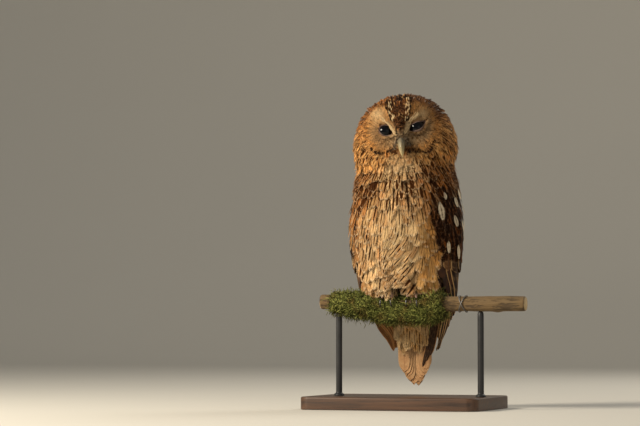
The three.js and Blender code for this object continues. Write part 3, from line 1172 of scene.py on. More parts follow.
@dataclass
class Markings:
    """The tawny owl's colours over its whole surface, by place. Heights and places are millimetres."""

    face: Face
    cream: Colour = rgb(214, 186, 142)
    buff: Colour = rgb(198, 152, 94)
    rufous: Colour = rgb(176, 110, 50)
    orange: Colour = rgb(196, 138, 76)
    golden: Colour = rgb(190, 142, 78)
    chestnut: Colour = rgb(124, 70, 28)
    grey: Colour = rgb(174, 147, 112)
    umber: Colour = rgb(66, 34, 10)
    dark: Colour = rgb(34, 17, 6)
    white: Colour = rgb(222, 206, 178)
    # The half-width of the crown's dark patch by height.
    crown_up: tuple[float, ...] = (-5, 7, 16.5, 25.5, 34, 46, 62)
    crown_half: tuple[float, ...] = (0.3, 6.6, 10.2, 13.0, 14.2, 12.5, 14.0)
    # The pale patches over the eyes: across, up and size.
    patches: tuple[Colour, ...] = ((-28.5, 23.5, 11), (30.0, 18.5, 8))

    def body(self, points: Array) -> Coat:
        """The trunk's and neck's coat.

        Args:
            points: Where to find it.

        Returns:
            Its marks.
        """
        height, turn = over_perch(points), breast_turn(points)
        side = np.abs(turn)
        chance, quick = ripple(points, 30 * MM, 3), ripple(points, 8 * MM, 4)
        low, upper = step(height, 135, 70), step(height, 95, 140)
        back = step(side, 95, 125)
        warm = step(side, 25, 60) * (0.78 - 0.45 * low)
        flank = step(side, 35, 55) * (1 - back) * step(height, 160, 140)
        centre = step(np.abs(turn - 11), 42, 10) * step(height, 60, 100)
        centre = centre * np.clip(0.75 + 0.35 * quick, 0, 1)
        # The long feathers over the front of the owl's left wing are golden, with hardly any streaks.
        golden = step(turn, 28, 40) * step(turn, 76, 64) * step(height, 114, 98)
        ground = np.tile(self.buff, (len(points), 1))
        for colour, share in (
            (self.cream, np.clip(0.30 + 0.45 * low, 0, 1) * step(side, 80, 25)),
            (self.rufous, np.clip(warm + 0.20 * chance, 0, 1)),
            (self.rufous, 0.55 * upper * step(quick, -0.6, 0.8)),
            (self.chestnut, 0.8 * back),
            (self.cream, 0.9 * flank * step(quick, 0.35, 0.75)),
            (self.rufous, (0.62 - 0.30 * low) * step(side, 95, 60) * step(quick, 0.0, 0.9)),
            (self.cream, 0.50 * centre),
            (self.golden, 0.75 * golden)
        ):
            ground = blend(ground, colour, share)
        deep = np.clip(0.25 + 0.4 * low + 0.6 * back + 0.3 * quick, 0, 1)
        streak = 0.16 + 0.20 * upper + 0.04 * chance + 0.12 * back
        streak = (streak + 0.10 * upper * step(side, 18, 34)) * (1 - 0.32 * centre)
        bars = np.clip(0.22 + 0.35 * upper + 0.2 * chance + 0.3 * back, 0, 1)
        return Coat(
            ground, blend(self.umber, self.dark, deep), streak * (1 - 0.7 * golden), bars,
            0.85 - 0.45 * back
        )

    def head(self, points: Array) -> Coat:
        """The head's coat: crown, pale patches, discs, lores and nape, with painted shade on the owl's left.

        Args:
            points: Where to find it.

        Returns:
            Its marks.
        """
        across, up, out = self.face.local(points) / MM
        side = np.abs(across)
        disc = self.face.disc(points)
        chance, fine = ripple(points, 14 * MM, 5), ripple(points, 4 * MM, 8)
        low = step(up, 22, -14)
        golden = blend(self.orange, self.buff, np.clip(0.5 + 0.4 * fine, 0, 1)) * 1.28
        ground = blend(self.rufous, golden, np.clip(0.12 + 0.75 * low + 0.22 * chance, 0, 1))
        nape = step(out, -30, -62)
        ground = blend(ground, self.chestnut, 0.55 * nape)
        streak = 0.42 - 0.10 * low + 0.10 * fine
        # The crown's dark patch runs down between the brows to a point.
        half = np.interp(up, self.crown_up, self.crown_half)
        crown = step(side, half + 1.6, half - 1.2) * step(up, -7, -4) * step(out, -80, -60)
        ground = blend(ground, self.chestnut, 0.85 * crown)
        # Painted shade makes the crown darker and redder on its left, the side turned from the key light,
        # and the cheeks are lighter beside the brows.
        shaded = step(up, 2, 16) * step(across, 5, 20)
        ground = ground * (1 - 0.40 * shaded * (1 - crown))[:, None]
        ground = ground * (1 + 0.20 * step(side, 30, 42) * step(up, 22, 4))[:, None]
        streak = streak + crown * (0.26 + 0.10 * fine)
        # The facial disc is orange outside, grey-brown by the eyes and bill.
        inside = step(disc, 1.05, 0.92) * step(out, -24, -14) * (1 - crown)
        deep = step(disc, 1.05, 0.50) * step(up, 22, 6) * (0.75 + 0.35 * step(across, 0, 14))
        deep = np.clip(deep + 0.25 * fine + 0.45 * step(side, 26, 10) * step(up, 4, -6), 0, 1)
        patch = sum(
            np.exp(-(((across - middle) / size) ** 2) - ((up - height) / (0.86 * size)) ** 2)
            for middle, height, size in self.patches
        )
        colour = blend(blend(self.orange, self.grey, deep), self.buff, np.clip(0.2 + 0.3 * fine, 0, 1))
        # Painted shade darkens the disc's colour on the owl's left too.
        colour = blend(colour, self.cream, np.clip(0.80 * patch, 0, 0.85)) * (1 - 0.35 * shaded)[:, None]
        # Grey lores beside the bill, the brown smudge round each eye and the chin under the bill.
        lores = step(side, 13, 8) * step(up, 2, -5) * step(up, -27, -20) * step(out, 0, 6)
        near = self.face.nearest_eye(points)[1] / MM
        smudge = 0.34 + 0.26 * step(side, 22, 12) + 0.18 * step(across, 0, 10)
        smudge = step(near, 19, 12) * smudge * (1 - crown)
        chin = step(up, -20, -25) * step(up, -34, -29) * step(side, 20, 10) * step(out, 0, 6)
        for paint, share in (
            (colour, inside),
            (self.grey, 0.8 * lores),
            (self.umber, 0.35 * lores * step(fine, -0.2, 0.6)),
            (self.umber, smudge * (1 - 0.7 * np.clip(patch, 0, 1))),
            (self.chestnut, chin * np.clip(0.7 + 0.3 * fine, 0, 1))
        ):
            ground = blend(ground, paint, share)
        streak = streak * (1 - inside) + inside * np.clip(0.14 + 0.25 * fine - 0.3 * patch, 0, 1)
        pale = (0.55 - 0.25 * nape) * (1 - 0.7 * inside)
        dye = blend(np.tile(self.umber, (len(points), 1)), self.dark, crown)
        return Coat(ground * (1 + 0.06 * chance)[:, None], dye, streak, 0.30 * (1 - inside), pale)

    def wing(self, points: Array) -> Coat:
        """The wing coverts' and shoulders' coat.

        Args:
            points: Where to find it.

        Returns:
            Its marks.
        """
        chance = ripple(points, 14 * MM, 21)
        ground = blend(self.umber, self.chestnut, np.clip(0.58 + 0.45 * chance, 0, 1))
        front = step(np.abs(breast_turn(points)), 66, 46)
        low = step(over_perch(points), 95, 60)
        ground = blend(ground, self.rufous, front * np.clip(0.25 + 0.45 * low, 0, 1))
        return Coat.even(points, ground, self.dark, 0.50 + 0.12 * chance, 0.8, 0.30)

    def over(self, points: Array) -> Coat:
        """Head and body together, blended at the neck, with a pale fan under the chin.

        Args:
            points: Where to find it.

        Returns:
            Its marks.
        """
        across, up, out = self.face.local(points) / MM
        share = np.maximum(step(up - 0.25 * out, -58, -42), step(self.face.disc(points), 1.20, 1.10))
        coat = self.body(points).mixed(self.head(points), share)
        fan = step(up, -29, -34) * step(up, -62, -50) * step(out, -4, 8)
        narrowing = 0.3 * (up + 35)
        throat = fan * step(np.abs(across + 4), 24 - narrowing, 10 - narrowing)
        coat.ground = blend(coat.ground, self.cream, 0.62 * throat)
        coat.streak = coat.streak * (1 - 0.75 * throat)
        return coat

    def tail_coverts(self, points: Array) -> Coat:
        """The soft coverts' coat: pale buff with faint dark centres.

        Args:
            points: Where to find it.

        Returns:
            Its marks.
        """
        chance = ripple(points, 15 * MM, 31)
        ground = blend(np.tile(self.cream, (len(points), 1)), self.buff, 0.6 + 0.3 * chance)
        return Coat.even(points, ground, self.umber, 0.06 + 0.03 * chance, 0.15, 0.4)


# ---- feathers


@dataclass(frozen=True)
class Plume:
    """Sizes in millimetres of one kind of small feather, whose vane is made of separate barbs."""

    length: float
    width: float
    barbs: int
    # How high its root and its tip lie over the surface.
    root: float
    tip: float
    barb_width: float = 0.9
    # How far the barbs slant towards the tip, and where along the shaft they begin.
    sweep: float = 0.42
    first: float = 0.12
    arch: float = 0.10
    curl: float = 0.0
    ragged: float = 0.14
    # The share of feathers with hardly any streak, how much feathers and barbs vary in brightness,
    # and how much redder and darker some feathers are.
    unmarked: float = 0.0
    vary: float = 0.10
    vary_barbs: float = 0.06
    tint: float = 0.0
    # How unevenly high the tips lie, and how steeply the body has to fall away for them to hang free.
    loose: float = 0.4
    hang: float = 2.0


@dataclass
class Grown:
    """Parts of one piece gathered as arrays, to become one mesh."""

    points: list[Array] = field(default_factory=list)
    faces: list[Array] = field(default_factory=list)
    values: dict[str, list[Array]] = field(default_factory=dict)
    unwrap: list[Array] = field(default_factory=list)
    normals: list[Array] = field(default_factory=list)

    def keep(self, **rows: Array) -> None:
        """Stores rows of attributes by name."""
        for key, row in rows.items():
            self.values.setdefault(key, []).append(row)

    def build(self, name: str) -> Item:
        """Joins all that was gathered into one mesh.

        Args:
            name: The piece's name.

        Returns:
            The piece.
        """
        gathered = ((self.points, 3), (self.unwrap, 2), (self.normals, 3))
        points, *others = (
            np.concatenate([part.reshape(-1, width) for part in parts]) if parts else None
            for parts, width in gathered
        )
        values = {key: np.concatenate([r.reshape(-1, 3) for r in rows]) for key, rows in self.values.items()}
        return mesh_from(name, points, self.joined_faces(len(points)), values, *others)

    def joined_faces(self, count: int) -> Array:
        """The faces of a mesh with so many points."""
        return np.concatenate(self.faces)


@dataclass
class Feathers(Grown):
    """Small feathers as thin closed blades, four points to each."""

    STATIONS = 6
    BLADE = np.array([[0, 2, 3], [0, 3, 1], [0, 1, 2], [3, 2, 1]])
    # Where the feather's colour is read, where barbs end, and how the shaft's pieces run along it.
    MIDDLE, BARB_END, SHAFT_STEP, SHAFT_PIECE, SHAFT_END = 0.78, 0.93, 0.36, 0.52, 0.985
    SHAFTS, SHAFT_WIDTH = 2, 0.16
    # How much of red, green and blue the most tinted feathers lose.
    TINT = (0.28, 0.50, 0.68)
    PATCH = 0.003

    def joined_faces(self, count: int) -> Array:
        """The faces of a mesh with so many points."""
        return (self.BLADE + 4 * np.arange(count // 4)[:, None, None]).reshape(-1, 3)

    def grow(
        self, surface: Surface, roots: Array, lie: Callable[[Array, Array], Array],
        paint: Callable[[Array], Coat], plume: Plume, rng: Rng, size: Array | float = 1.0,
        lift: Array | float = 0.0
    ) -> None:
        """Adds one feather at each root, bent along the surface.

        Args:
            surface: The plumage's outer surface.
            roots: Points near the surface.
            lie: The feathers' direction from points and normals.
            paint: The markings at points.
            plume: The kind of feather.
            rng: Random numbers.
            size: Each feather's size, 1 as the plume gives it.
            lift: How many millimetres higher its root lies.
        """
        count = len(roots)
        size = size * rng.uniform(0.92, 1.08, count)
        here, normal = surface.project(roots)
        way = lie(here, normal)
        way = unit(way + np.cross(normal, way) * rng.normal(0, 0.09, (count, 1)))
        stations = [(here, np.cross(normal, way), normal)]
        hop = plume.length * MM / (self.STATIONS - 1) * size[:, None]
        for _ in range(self.STATIONS - 1):
            there, normal = surface.project(here + way * hop)
            way = unit(0.6 * tangential(way, normal) + 0.4 * lie(there, normal))
            free = step(-normal[:, 2:], plume.hang, plume.hang + 0.15)
            level = unit(normal * [1, 1, 0] + 1e-9)
            hanging = lie(here, level)
            here = there * (1 - free) + (here + hanging * hop) * free
            normal = unit(normal * (1 - free) + level * free)
            way = unit(way * (1 - free) + hanging * free)
            stations.append((here, np.cross(normal, way), normal))
        spine, sides, ups = (np.stack(rows, 1) for rows in zip(*stations))
        share = np.linspace(0, 1, self.STATIONS)
        rise = plume.root + (plume.tip - plume.root) * share ** 0.85 - plume.curl * share ** 4
        rise = rise + lift * (1 - 0.8 * share) + rng.normal(0, plume.loose, (count, 1)) * share
        spine = spine + ups * rise[..., None] * MM
        self.add_barbs(spine, sides, ups, plume, size[:, None] * MM, rng)
        coat = paint(self.along(spine, np.full((count, 1), self.MIDDLE))[:, 0])
        self.dress(plume, coat, surface.unwrap(spine[:, 0]), rng)

    def add_barbs(self, spine: Array, sides: Array, ups: Array, plume: Plume, size: Array, rng: Rng) -> None:
        """Adds the barbs and the shaft of feathers whose middle lines are known.

        Args:
            spine: The middle lines' points, feather by station.
            sides: The directions to the feathers' left there.
            ups: The directions out of the coat there.
            plume: The kind of feather.
            size: Each feather's size in metres to the millimetre.
            rng: Random numbers.
        """
        shape = (len(spine), plume.barbs)
        at_root = plume.first + (self.BARB_END - plume.first) * (np.arange(plume.barbs) + 0.5) / plume.barbs
        at_root = at_root[None, :] + rng.uniform(-0.3, 0.3, shape) / plume.barbs
        at_tip = np.minimum(at_root + plume.sweep * (1.05 - at_root), 1.0)
        wide = self.outline(at_tip) * (1 + rng.uniform(-1, 0.6, shape) * plume.ragged)
        half = 0.5 * plume.width * size * wide
        start, middle, up = self.along(spine, at_root), self.along(spine, at_tip), self.along(ups, at_tip)
        for side in (1, -1):
            end = middle + side * self.along(sides, at_tip) * half[..., None]
            end = end - up * (plume.arch * half)[..., None]
            self.blades(start, end, up, plume.barb_width * size, (at_root, at_tip), (0.0, side * wide))
        for k in range(self.SHAFTS):
            low = np.full((len(spine), 1), plume.first + k * self.SHAFT_STEP)
            high = np.minimum(low + self.SHAFT_PIECE, self.SHAFT_END)
            start, end = self.along(spine, low), self.along(spine, high)
            up = self.along(ups, (low + high) / 2)
            width = self.SHAFT_WIDTH * plume.width * size
            self.blades(start, end, up, width, (low, high), (0.0, 0.0), self.SHAFT_WIDTH)

    @staticmethod
    def outline(share: Array) -> Array:
        """A contour feather's half-width along its length, 1 at its widest."""
        oval = np.clip(np.sin(np.pi * np.clip(share, 0, 1) ** 1.35) ** 0.55, 0.0, 1)
        return oval * 0.85 + 0.15 * (1 - share)

    def along(self, line: Array, share: Array) -> Array:
        """Points of many middle lines at shares of their lengths.

        Args:
            line: The lines' points, feather by station.
            share: Shares for each feather.

        Returns:
            Points, feather by share.
        """
        last = self.STATIONS - 1
        spot = np.clip(share, 0, 1) * last
        i = np.minimum(spot.astype(int), last - 1)
        t = (spot - i)[..., None]
        row = np.arange(len(line))[:, None]
        return line[row, i] * (1 - t) + line[row, i + 1] * t

    def blades(
        self, start: Array, end: Array, up: Array, width: Array, lengthwise: tuple[Array, Array],
        crosswise: tuple[Array | float, Array | float], spread: float = 0.0, shine: Array | None = None
    ) -> None:
        """Adds thin closed blades between points.

        Args:
            start: Where they begin.
            end: Where they end.
            up: Their upward directions.
            width: Their widths.
            lengthwise: The vane's length coordinate at start and end.
            crosswise: The vane's width coordinate at start and end.
            spread: What the width coordinate gains at the blade's two edges.
            shine: The direction that they are shaded for, if it isn't up.
        """
        run = end - start
        middle = start + 0.45 * run - up * (0.14 * MM)
        edge = unit(np.cross(up, run))
        out = edge * (0.5 * width)[..., None]
        self.points.append(np.stack([start + up * 0.05 * MM, middle + out, middle - out, end], -2))
        soft = unit((up if shine is None else shine) + 0.35 * unit(np.cross(run, edge)))
        self.normals.append(np.repeat(soft[..., None, :], 4, -2))
        (u0, u1), (v0, v1) = lengthwise, crosswise
        u, v = 0.55 * u0 + 0.45 * u1, 0.55 * v0 + 0.45 * v1
        rows = np.broadcast_arrays(u0, u, u, u1, v0, v + spread, v - spread, v1)
        self.keep(vane=np.stack([np.stack(rows[:4], -1), np.stack(rows[4:], -1)], -1))

    def dress(self, plume: Plume, coat: Coat, place: Array, rng: Rng) -> None:
        """Gives each of the last feathers' blades its markings and its patch of the unwrap.

        Args:
            plume: The kind of feather.
            coat: The markings of each feather.
            place: Each root's place on the unwrap.
            rng: Random numbers.
        """
        count = len(place)
        ground = coat.ground * (1 + rng.normal(0, plume.vary, (count, 1)))
        ground = ground * (1 - plume.tint * rng.uniform(0, 1, (count, 1)) ** 2 * self.TINT)
        bare = rng.uniform(size=count) < plume.unmarked
        streak = coat.streak * np.where(bare, 0.25, rng.uniform(0.65, 1.30, count))
        marks = np.stack([streak, coat.bars * np.where(bare, 0.3, 1.0), coat.pale], -1)
        chance = rng.uniform(0, 1, count)
        for k in range(-self.SHAFTS - 2, 0):
            shape = (*self.values["vane"][k].shape[:3], 3)
            shade = 1 + rng.normal(0, plume.vary_barbs, (*shape[:2], 1, 1))
            whole = (np.broadcast_to(row[:, None, None], shape) for row in (ground, coat.dye, marks))
            full = dict(zip(("ground", "dye", "mark"), whole))
            full["ground"] = full["ground"] * shade
            self.keep(**full)
            self.number(k, chance, place)

    def number(self, k: int, chance: Array, place: Array) -> None:
        """Completes one group of blades' vane coordinates and gives it its patch of the unwrap.

        Args:
            k: Which group.
            chance: A random number for each feather.
            place: Each feather's place on the unwrap.
        """
        vane = self.values["vane"][k]
        many = (-1,) + (1,) * (vane.ndim - 2)
        luck = np.broadcast_to(chance.reshape(many), vane.shape[:-1])
        self.values["vane"][k] = np.concatenate([vane, luck[..., None]], -1)
        spot = np.stack([vane[..., 1] / 2, vane[..., 0]], -1) - 0.25
        self.unwrap.append(place.reshape(*many, 2) + self.PATCH * spot)


# ---- the owl's skin


@dataclass
class Skin:
    """The one skin of head, neck, trunk, legs and feet, sunk under the coat by its depth."""

    face: Face
    markings: Markings
    voxel: float = 1.7 * MM
    # How deep it lies under the coat's surface on body, head and toes.
    depths: Colour = (5.0 * MM, 3.2 * MM, 0.1 * MM)
    # The skin stays clear of the wings' coat from this height over the perch, in millimetres.
    clear_above: float = 45.0
    lid_colour: Colour = rgb(110, 84, 74)
    nodes: tuple[str, ...] = ("head", "neck", "trunk", "leg_left", "leg_right", "foot_left", "foot_right")

    def fuse(self, nodes: Sequence[str], name: str) -> Item:
        """Copies nodes and makes them one closed, smooth mesh.

        Args:
            nodes: Their names.
            name: What the mesh is called.

        Returns:
            The mesh.
        """
        whole = joined([duplicate(node) for node in nodes], name)
        reform(whole, self.voxel, 6)
        return whole

    def surface(self) -> Surface:
        """The plumage's outer surface over head and trunk.

        Returns:
            The surface.
        """
        flesh = self.fuse(("head", "neck", "trunk"), "flesh")
        solids = [flesh] + [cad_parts[f"eye_{side.word}"] for side in Side]
        caps, lean = (65 * MM, 75 * MM), ((0, 6 * MM), (1, 6 * MM))
        made = Surface(solids, 332 * MM, 210 * MM, caps, lean, (360, 230), 2.4 * MM)
        bpy.data.objects.remove(flesh)
        return made

    def build(self, surface: Surface, outer: Surface) -> Item:
        """Makes the skin.

        Args:
            surface: The plumage's outer surface over head and trunk.
            outer: The outer surface with the folded wings.

        Returns:
            The piece.
        """
        skin = self.fuse(self.nodes, "skin")
        points, normals = points_of(skin), normals_of(skin)
        body, head, toe = self.depths
        on_head = step(self.face.local(points)[1], -70 * MM, -35 * MM)
        depth = body * (1 - on_head) + head * on_head
        toes = step(over_perch(points), 26, 19)
        depth = depth * (1 - toes) + toe * toes
        points = points - normals * depth[:, None]
        # Nothing of it may stand nearer than its depth to the coat's surface, under the wings too.
        starts, ways, reach, top = outer.beneath(points)
        most = top - depth - 0.5 * MM
        high = (over_perch(points) > self.clear_above) & (reach > most)
        points[high] = (starts + ways * most[:, None])[high]
        place_points(skin, points)
        smooth(skin)
        coat = self.markings.over(points)
        mark = step(over_perch(points), 21, 17.5)[:, None] * (1, 0, 0)
        add_values(skin, ground=coat.ground, dye=coat.dye, mark=mark)
        lids = [self.lid(side, surface) for side in Side]
        rim = np.array(self.lid_colour)
        for lid in lids:
            add_values(lid, ground=rim, dye=rim * 0.5, mark=(1, 0.72, 1))
        return finish_piece(joined([skin, *lids], "skin"), SkinFinish("owl_skin"), self.nodes)

    def lid(self, side: Side, surface: Surface) -> Item:
        """Models one eye's pair of lids: a thick-rimmed almond opening over the eyeball.

        Args:
            side: Which eye.
            surface: The plumage's outer surface.

        Returns:
            The lids, as an open ring.
        """
        eye = Eyes.measure(self.face, side)
        last = len(eye.grow) - 1

        def place(turn: Array, share: Array) -> Array:
            """The lids' layers, from inside the rim to the skin."""
            return eye.lid_points(turn, np.rint(share * last).astype(int), surface)

        return lofted("lid", 48, last + 1, place, kept_open=True)


@dataclass
class EyePlace:
    """One eye: its ball, its axes and the almond opening between its lids, in millimetres."""

    side: Side
    centre: Array
    outward: Array
    across: Array
    up: Array
    radius: float
    wide: float
    high: float
    slant: float
    shift: Pair
    taper: Pair
    # How much flatter the almond is above than below.
    flatter: float = 0.88
    # The lids run in layers from inside the rim, over it, to the skin: how far out from the opening,
    # how far off the ball, and how far they have left the ball for the head's surface.
    grow: tuple[float, ...] = (0.3, -0.2, 0.0, 0.5, 1.1, 2.2, 4.2, 4.4)
    over: tuple[float, ...] = (-0.9, 0.05, 0.50, 0.60, 0.1, -0.6, -2.0, -5.0)
    leave: tuple[float, ...] = (0.0, 0.0, 0.0, 0.2, 0.7, 1.0, 1.0, 1.0)

    def height(self, share: Array, above: Array) -> Array:
        """The almond's half-height at shares of its half-width, above or below its middle.

        Args:
            share: Shares of the half-width, from -1 to 1 towards the owl's left.
            above: Whether the upper half is meant.

        Returns:
            The half-height.
        """
        inner = -share * self.side.value
        taper = 1 - self.taper[0] * np.clip(inner, 0, 1) ** 2 - self.taper[1] * np.clip(-inner, 0, 1) ** 2
        return self.high * taper * np.where(above, self.flatter, 1.0)

    def opening(self, turn: Array, more: Array | float = 0.0) -> tuple[Array, Array]:
        """The almond's outline on the eye's two axes.

        Args:
            turn: Turns round it.
            more: How much wider it is drawn.

        Returns:
            Places along the two axes.
        """
        cos, sin = np.cos(turn), np.sin(turn)
        x, y = (self.wide + more) * cos, (self.height(cos, sin > 0) + more) * sin
        c, s = math.cos(self.slant), math.sin(self.slant)
        return x * c - y * s + self.shift[0], x * s + y * c + self.shift[1]

    def inside(self, points: Array, margin: float) -> Array:
        """Whether points in front of the eye lie in its opening or nearer to it than a margin.

        Args:
            points: The points.
            margin: The margin in millimetres.

        Returns:
            Truths.
        """
        away = (points - self.centre) / MM
        x, y = away @ self.across - self.shift[0], away @ self.up - self.shift[1]
        c, s = math.cos(self.slant), math.sin(self.slant)
        x, y = x * c + y * s, y * c - x * s
        high = self.height(np.clip(x / self.wide, -1, 1), y > 0) + margin
        return (np.hypot(x / (self.wide + margin), y / high) < 1) & (away @ self.outward > 0)

    def lid_points(self, turn: Array, layer: Array, surface: Surface) -> Array:
        """Places a ring's points as lids, from the ball out onto the head.

        Args:
            turn: Each point's turn round the opening.
            layer: Each point's layer.
            surface: The plumage's outer surface.

        Returns:
            The points.
        """
        grow, over, leave = (np.array(v)[layer] for v in (self.grow, self.over, self.leave))
        x, y = self.opening(turn, grow)
        out = np.sqrt(np.maximum(self.radius**2 - x**2 - y**2, (0.3 * self.radius) ** 2))
        flat = self.centre + MM * (x[:, None] * self.across + y[:, None] * self.up)
        head = flat + MM * out[:, None] * self.outward
        for _ in range(4):
            found, normals = surface.project(head)
            gap = np.sum((found - head) * normals, 1) / np.maximum(normals @ self.outward, 0.3)
            head = head + gap[:, None] * self.outward
        # Where the head's surface lies behind the ball, the lids stay on the ball.
        depth = np.maximum((head - flat) @ self.outward / MM + over, out + 0.45)
        out = (out + over) * (1 - leave) + depth * leave
        return flat + MM * out[:, None] * self.outward


@dataclass
class Eyes:
    """The two dark eyeballs."""

    face: Face
    radius: float = 11.6
    set_back: float = 1.2 * MM
    splay: float = math.radians(16)
    pupil: float = 6.6 * MM

    @classmethod
    def measure(cls, face: Face, side: Side) -> EyePlace:
        """Finds one eye's place and opening.

        Args:
            face: The head's frame.
            side: Which eye.

        Returns:
            The eye.
        """
        across, up, out = face.axes
        outward = unit(out * math.cos(cls.splay) + across * side.value * math.sin(cls.splay))
        high = unit(up - outward * (up @ outward))
        sideways = np.cross(high, outward)
        sideways = sideways * np.sign(sideways @ across)
        # Half-width, half-height, slant in degrees, shift, and how far the inner and outer corners taper.
        wide, tall, slant, shift, taper = {
            Side.LEFT: (11.8, 5.0, 18.6, (-2.0, 2.6), (0.25, 0.45)),
            Side.RIGHT: (9.3, 6.6, -25.0, (4.6, 1.6), (0.50, 0.0))
        }[side]
        centre = face.eyes[side] - outward * cls.set_back
        ball = (side, centre, outward, sideways, high, cls.radius)
        return EyePlace(*ball, wide, tall, math.radians(slant), shift, taper)

    def build(self) -> None:
        """Makes both eyeballs, with a bulging cornea."""
        places = [self.measure(self.face, side) for side in Side]
        centres = tuple(tuple(eye.centre.tolist()) for eye in places)
        finish = EyeFinish("eye_wet", centres, tuple(self.face.axes[2].tolist()), self.pupil)
        for eye in places:
            choose()
            bpy.ops.mesh.primitive_uv_sphere_add(
                segments=48, ring_count=32, radius=eye.radius * MM, location=Vector(eye.centre)
            )
            ball = settle(bpy.context.object, f"eyeball_{eye.side.word}")
            away = points_of(ball) - eye.centre
            ahead = away @ eye.outward / (eye.radius * MM)
            bulge = 1 + 0.02 * step(ahead, 0.80, 1.0) - 0.03 * step(ahead, 0.2, -0.6)
            place_points(ball, eye.centre + away * bulge[:, None])
            smooth(ball)
            finish_piece(ball, finish, [f"eye_{eye.side.word}"])


# ---- the coat


@dataclass(frozen=True)
class Tuft:
    """A line of small feathers on the face, through places across and up in millimetres."""

    route: tuple[Pair, ...]
    count: int
    spread: float
    plume: Plume
    paint: Plain
    # Whether they lie along the line, and not the way the coat does.
    combed: bool = False


def ring_of_turns(count: int, rng: Rng) -> Array:
    """So many turns spread unevenly round a ring."""
    return (np.arange(count) + rng.uniform(-0.4, 0.4, count)) / count * TAU


@dataclass
class CoatOfFeathers:
    """All small feathers of head, body, legs and wing coverts."""

    face: Face
    markings: Markings
    surface: Surface
    outer: Surface
    finish: FeatherFinish = FeatherFinish("plumage_barbed")
    under: Plume = Plume(26, 17, 12, -5.0, -1.6, 1.5, hang=0.15)
    contour: Plume = Plume(
        33, 18, 42, -5.0, 0.9, 0.60, sweep=0.70, curl=0.5, ragged=0.38, unmarked=0.58, tint=0.60,
        vary=0.17, vary_barbs=0.08, loose=0.9, hang=0.15
    )
    wisp: Plume = Plume(
        31, 13, 30, -3.0, 2.3, 0.42, sweep=0.76, ragged=0.45, unmarked=0.12, tint=0.35, vary=0.14,
        vary_barbs=0.08, loose=1.1, hang=0.15
    )
    crown: Plume = Plume(
        16, 5.6, 10, -3.3, 1.2, 0.50, sweep=0.72, ragged=0.30, unmarked=0.25, vary=0.13, vary_barbs=0.13,
        loose=0.8
    )
    ray: Plume = Plume(
        8.5, 2.6, 3, -2.6, 0.1, 0.50, sweep=0.6, arch=0.05, ragged=0.35, unmarked=0.3, vary=0.15,
        vary_barbs=0.12, loose=0.5
    )
    lash: Plume = Plume(4.6, 1.7, 3, 0.15, 1.2, 0.42, sweep=0.6, first=0.02, ragged=0.3, vary=0.15)
    brow: Plume = Plume(7.5, 1.3, 4, -1.0, 1.5, 0.26, sweep=0.8, ragged=0.5, vary=0.14)
    rim: Plume = Plume(5.0, 1.5, 4, -1.2, 1.3, 0.32, sweep=0.7, ragged=0.5, vary=0.3)
    fleck: Plume = Plume(5.0, 1.9, 7, -0.6, 1.9, 0.34, sweep=0.75, ragged=0.3)
    covert: Plume = Plume(
        27, 14, 24, -2.0, 2.0, 0.70, curl=0.4, ragged=0.16, unmarked=0.15, vary=0.16, loose=0.5
    )
    shank: Plume = Plume(11, 5, 5, -1.6, 0.6, 0.8, ragged=0.3)
    crown_flecks: int = 22
    # Over this height the body's feathers lie over the folded wings' surface too.
    split: float = 52
    # The visible wing's front and back edge as turns by height, for each side, and where it ends.
    wing_up: tuple[float, ...] = (20, 74, 80, 84, 105, 133, 150, 160)
    wing_front: dict[Side, tuple[float, ...]] = field(
        default_factory=lambda: {
            Side.LEFT: (36, 55, 60, 58, 50, 44, 50, 62), Side.RIGHT: (47, 50, 82, 84, 84, 84, 84, 86)
        }
    )
    wing_back: tuple[float, ...] = (166, 164, 163, 162, 158, 150, 122, 108)
    wing_top: float = 157
    # Each white patch of the wing: turn from the breast, height over the perch, width and length.
    white_spots: tuple[tuple[float, ...], ...] = (
        (62, 137, 6, 9), (78, 129, 9, 15), (55, 118, 10, 24), (74, 106, 8, 15), (88, 141, 8, 14),
        (86, 100, 6, 14), (66, 73, 7, 15), (80, 67, 6, 18), (98, 122, 8, 15), (108, 104, 8, 15),
        (97, 84, 6, 14), (116, 86, 7, 13)
    )
    # The far wing's spots show only behind this turn.
    right_spots_from: float = 84

    def lie(self, points: Array, normals: Array) -> Array:
        """The way the feathers point, over head and body.

        Args:
            points: Where they grow.
            normals: The surface's normals there.

        Returns:
            Unit directions along the surface.
        """
        turn, height = breast_turn(points), over_perch(points)
        fan = 0.12 + 0.38 * step(height, 110, 170)
        sideways = np.sin(np.clip(np.radians(turn), -1.6, 1.6) * 1.1) * fan
        # The belly's middle is combed towards the owl's right, from a parting.
        sideways = sideways - 0.90 * step(turn, -14, 0) * step(turn, 48, 24) * step(height, 108, 76)
        down = np.stack([sideways, np.full(len(points), 0.05), np.full(len(points), -1.0)], 1)
        across, up, out = self.face.local(points) / MM
        away = tangential(points - self.face.world(0, -12, 8), normals)
        droop = 1.3 * step(np.abs(across), 26, 46) * step(up, 34, -6)
        away = tangential(away - droop[:, None] * self.face.axes[1], normals)
        way = unit(blend(tangential(down, normals), away, step(up - 0.35 * out, -52, -22)))
        ray = tangential(self.face.nearest_eye(points)[0], normals)
        return unit(blend(way, ray, step(self.face.disc(points), 1.12, 0.95)))

    def covered(self, points: Array, margin: float) -> Array:
        """Whether a folded wing lies over points of the body."""
        _, _, mine, top = self.outer.beneath(points)
        return top - mine > margin

    def on_wing(self, points: Array, more: Array | float = 0.0) -> Array:
        """Whether points lie where the folded wing shows, or up to some degrees in front of it.

        Args:
            points: The points.
            more: How many degrees in front of it still count.

        Returns:
            Truths.
        """
        height, turn = over_perch(points), breast_turn(points)
        back = np.interp(height, self.wing_up, self.wing_back)
        hit = np.zeros(len(points), bool)
        for side in Side:
            front = np.interp(height, self.wing_up, self.wing_front[side])
            hit |= (turn * side.value > front - more) & (turn * side.value < back)
        return hit & (height < self.wing_top)

